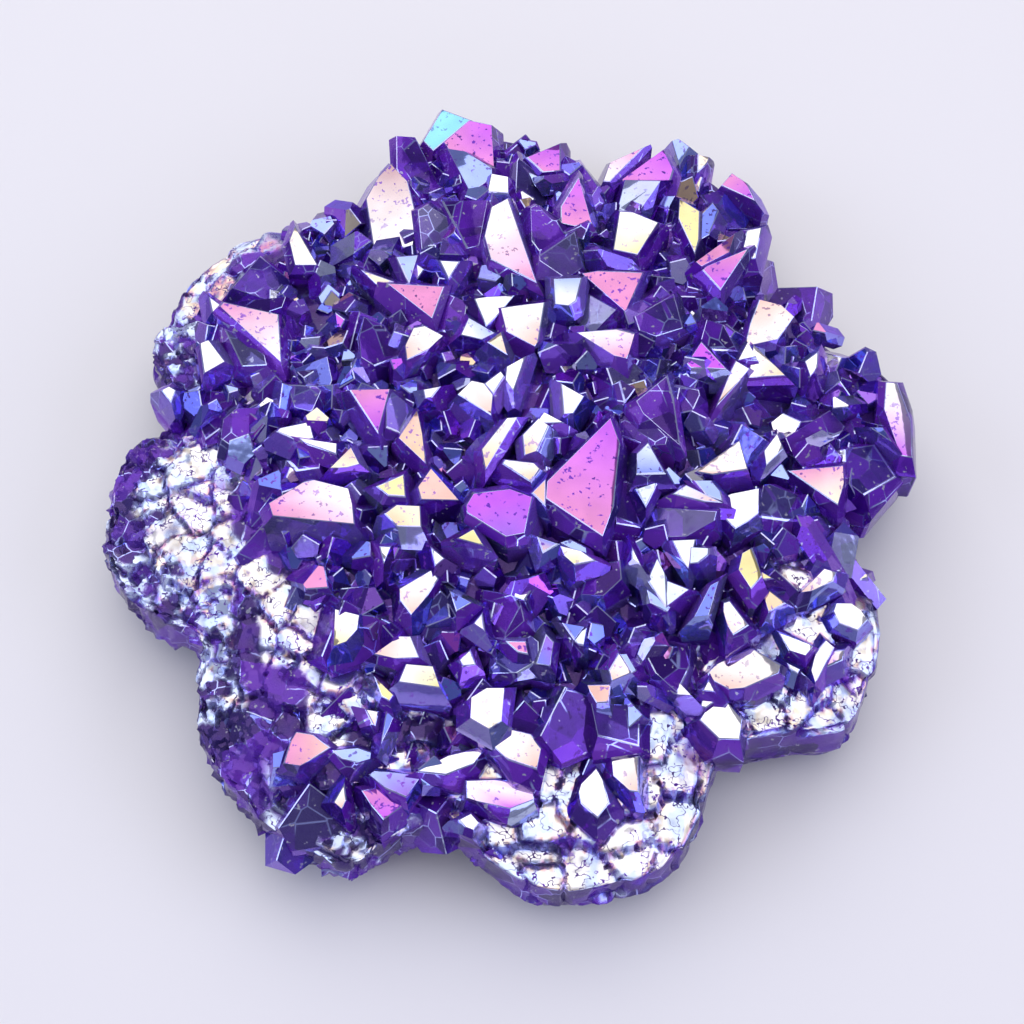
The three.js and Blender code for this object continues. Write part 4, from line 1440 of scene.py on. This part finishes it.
# How much of that comes from a face's own shade (darker on bare level faces, as painted shade), from
# clouds and from inner patches.
FACE_SHADE = 0.4
CLOUD_SHADE = 0.3
PATCH_SHADE = 0.3
PATCH_SCALE = 420.0
STEP_COLOUR = (0.50, 0.56, 1.0, 1)
DUST_COLOUR = (0.80, 0.80, 0.95, 1)
# Even where it is thinnest, the coat tints what the faces reflect.
SHEEN_COLOUR = (0.70, 0.40, 1.0, 1)
FLASH_METAL = 0.94
CLEARNESS = 0.64
QUARTZ_IOR = 1.544
ABSORPTION = (0.76, 0.10, 0.92, 1)
ABSORPTION_DENSITY = 240.0
# The material's noises: scale per metre, detail and roughness.
DRIFT = (300.0, 2.0, 0.5)
SPECK = (1700.0, 2.0, 0.6)
CLOUD = (420.0, 2.0, 0.5)
WRINKLE = (460.0, 3.0, 0.7)
RELIEF = (1000.0, 1.0, 0.6)
# Pits, dust, lines and growth steps fade in between these values of their noises.
PITS = (0.61, 0.65)
DUST = (0.34, 0.30)
WRINKLE_LINE = (0.013, 0.005)
STEP_LINE = (0.026, 0.010)
STEP_PLACES = (0.47, 0.57)
STEP_SCALE = 420.0
# A least value, then how much a noise or the foil adds to it.
BRIGHTNESS = (0.7, 0.6)
ROUGHNESS = (0.05, 0.24)
CLOUD_ROUGHNESS = 0.06
RELIEF_HEIGHT = (0.2, 0.25)
BUMP_STRENGTH = 0.2
BUMP_DISTANCE = 0.0004


def growth_steps(tree, place, drift, coat):
    """Steps in the growth of the faces show as thin pale lines, here and there."""
    edges = new_node(
        tree, "ShaderNodeTexVoronoi", feature="DISTANCE_TO_EDGE", Vector=place, Scale=STEP_SCALE
    )
    line = graded(tree, edges.outputs["Distance"], STEP_LINE)
    line = times(tree, line, graded(tree, drift, STEP_PLACES))
    return times(tree, line, rest(tree, coat))


def laid_coat(tree, place, speck, aura, foil, coat):
    """What is left of the coat: small pits are bare, most of all where it is pink or violet,
    and thin bare lines run over the foil."""
    pits = times(tree, graded(tree, speck, PITS), rest(tree, channel(tree, aura, "Green")))
    wrinkle = calculate(tree, "SUBTRACT", noise(tree, place, WRINKLE), 0.5)
    line = graded(tree, calculate(tree, "ABSOLUTE", wrinkle), WRINKLE_LINE)
    kept = times(tree, rest(tree, pits), rest(tree, times(tree, line, foil)))
    return times(tree, coat, kept)


def body_colour(tree, place, cloud, depth):
    """Cracks and inner faces show as patches, from deep violet to a lighter haze, over each face's own
    shade, with painted shade on bare level faces.
    """
    cell = new_node(tree, "ShaderNodeTexVoronoi", Vector=place, Scale=PATCH_SCALE)
    patch = channel(tree, cell.outputs["Color"], "Red")
    inner = add_times(tree, times(tree, cloud, CLOUD_SHADE), patch, PATCH_SHADE)
    return ramp(tree, add_times(tree, inner, depth, FACE_SHADE), BODY_STOPS)


def make_quartz():
    material = bpy.data.materials.new("aura_amethyst")
    material.use_nodes = True
    tree = material.node_tree
    shader = tree.nodes["Principled BSDF"]
    link = tree.links.new
    place = tree.nodes.new("ShaderNodeTexCoord").outputs["Object"]
    # depth carries each face's shade of violet, with painted shade on bare level faces.
    coat, foil, depth = (attribute(tree, name) for name in ("coat", "foil", "body"))
    aura = attribute(tree, "aura", "Color")
    drift, speck, cloud = (noise(tree, place, kind) for kind in (DRIFT, SPECK, CLOUD))
    laid = laid_coat(tree, place, speck, aura, foil, coat)
    step = growth_steps(tree, place, drift, coat)
    link(times(tree, calculate(tree, "MAXIMUM", laid, step), FLASH_METAL), shader.inputs["Metallic"])
    # The coat's brightness drifts a little.
    tone = new_node(tree, "ShaderNodeVectorMath", operation="SCALE")
    link(aura, tone.inputs[0])
    link(add_times(tree, BRIGHTNESS[0], drift, BRIGHTNESS[1]), tone.inputs["Scale"])
    dust = times(tree, graded(tree, speck, DUST), rest(tree, laid))
    colour = mix_colours(tree, laid, body_colour(tree, place, cloud, depth), tone.outputs[0])
    colour = mix_colours(tree, step, colour, STEP_COLOUR)
    link(mix_colours(tree, dust, colour, DUST_COLOUR), shader.inputs["Base Color"])
    rough = add_times(tree, ROUGHNESS[0], foil, ROUGHNESS[1])
    link(add_times(tree, rough, cloud, CLOUD_ROUGHNESS), shader.inputs["Roughness"])
    shader.inputs["Transmission Weight"].default_value = CLEARNESS
    shader.inputs["IOR"].default_value = QUARTZ_IOR
    shader.inputs["Specular Tint"].default_value = SHEEN_COLOUR
    height = add_times(tree, RELIEF_HEIGHT[0], foil, RELIEF_HEIGHT[1])
    height = times(tree, noise(tree, place, RELIEF), height)
    bump = new_node(
        tree, "ShaderNodeBump", Strength=BUMP_STRENGTH, Distance=BUMP_DISTANCE, Height=height
    )
    link(bump.outputs["Normal"], shader.inputs["Normal"])
    volume = new_node(
        tree, "ShaderNodeVolumeAbsorption", Color=ABSORPTION, Density=ABSORPTION_DENSITY
    )
    link(volume.outputs[0], tree.nodes["Material Output"].inputs["Volume"])
    return material


flower.data.materials.clear()
flower.data.materials.append(make_quartz())
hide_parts("amethyst_flower")
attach(flower, "root")

# ---- Floor, light and camera --------------------------------------------------------------------

FLOOR_SIDE = 1.6
FLOOR_COLOUR = (0.80, 0.78, 0.75, 1)
FLOOR_ROUGHNESS = 0.8
ROOM_COLOUR = (0.76, 0.75, 1.0, 1)
ROOM_STRENGTH = 0.4
# Soft boxes: direction and height in degrees, distance, width, height, power and colour.
SOFT_BOXES = {
    "key": (184, 67, 0.36, 0.50, 0.72, 1.38, (1.0, 0.99, 0.97)),
    "left": (-80, 34, 0.45, 0.34, 0.24, 0.60, (0.62, 0.70, 1.0)),
    "right": (80, 32, 0.45, 0.34, 0.24, 0.60, (0.66, 0.70, 1.0)),
    "front": (8, 20, 0.55, 0.40, 0.20, 0.50, (0.62, 0.68, 1.0)),
}
CAMERA_TARGET = (-0.14, -5.29, 8.0)
CAMERA_SENSOR = 36
CAMERA_NEAREST = 0.005


def make_floor():
    half = FLOOR_SIDE / 2
    corners = [(-half, -half, 0), (half, -half, 0), (half, half, 0), (-half, half, 0)]
    floor = mesh_object("floor", corners, [(0, 1, 2, 3)])
    material = bpy.data.materials.new("floor")
    material.use_nodes = True
    shader = material.node_tree.nodes["Principled BSDF"]
    shader.inputs["Base Color"].default_value = FLOOR_COLOUR
    shader.inputs["Roughness"].default_value = FLOOR_ROUGHNESS
    floor.data.materials.append(material)


def from_angles(azimuth, elevation):
    """A direction: azimuth 0 is the front, and it grows towards the right."""
    a, e = math.radians(azimuth), math.radians(elevation)
    return Vector((math.sin(a) * math.cos(e), -math.cos(a) * math.cos(e), math.sin(e)))


def make_softbox(name, azimuth, elevation, distance, width, height, power, colour):
    light = bpy.data.lights.new(name, "AREA")
    light.shape = "RECTANGLE"
    light.size, light.size_y = width, height
    light.energy = power
    light.color = colour
    piece = add_object(name, light)
    direction = from_angles(azimuth, elevation)
    piece.location = direction * distance
    piece.rotation_euler = direction.to_track_quat("Z", "Y").to_euler()


def make_world():
    world = bpy.data.worlds.new("soft_room")
    world.use_nodes = True
    background = world.node_tree.nodes["Background"]
    background.inputs["Color"].default_value = ROOM_COLOUR
    background.inputs["Strength"].default_value = ROOM_STRENGTH
    bpy.context.scene.world = world


def make_camera():
    camera = bpy.data.cameras.new("camera")
    camera.sensor_width = CAMERA_SENSOR
    camera.angle = math.radians(CAMERA_ANGLE)
    camera.clip_start = CAMERA_NEAREST
    piece = add_object("camera", camera)
    back = from_angles(0, CAMERA_ELEVATION)
    piece.location = (Vector(CAMERA_TARGET) + back * CAMERA_DISTANCE) * MM
    piece.rotation_euler = back.to_track_quat("Z", "Y").to_euler()
    bpy.context.scene.camera = piece


make_floor()
make_world()
for name, box in SOFT_BOXES.items():
    make_softbox(name, *box)
make_camera()
cycles = bpy.context.scene.cycles
cycles.max_bounces = 5
cycles.diffuse_bounces = 1
cycles.glossy_bounces = 3
cycles.transmission_bounces = 5
cycles.use_light_tree = False
cycles.caustics_reflective = False
cycles.caustics_refractive = False
bpy.context.scene.view_settings.view_transform = "Standard"
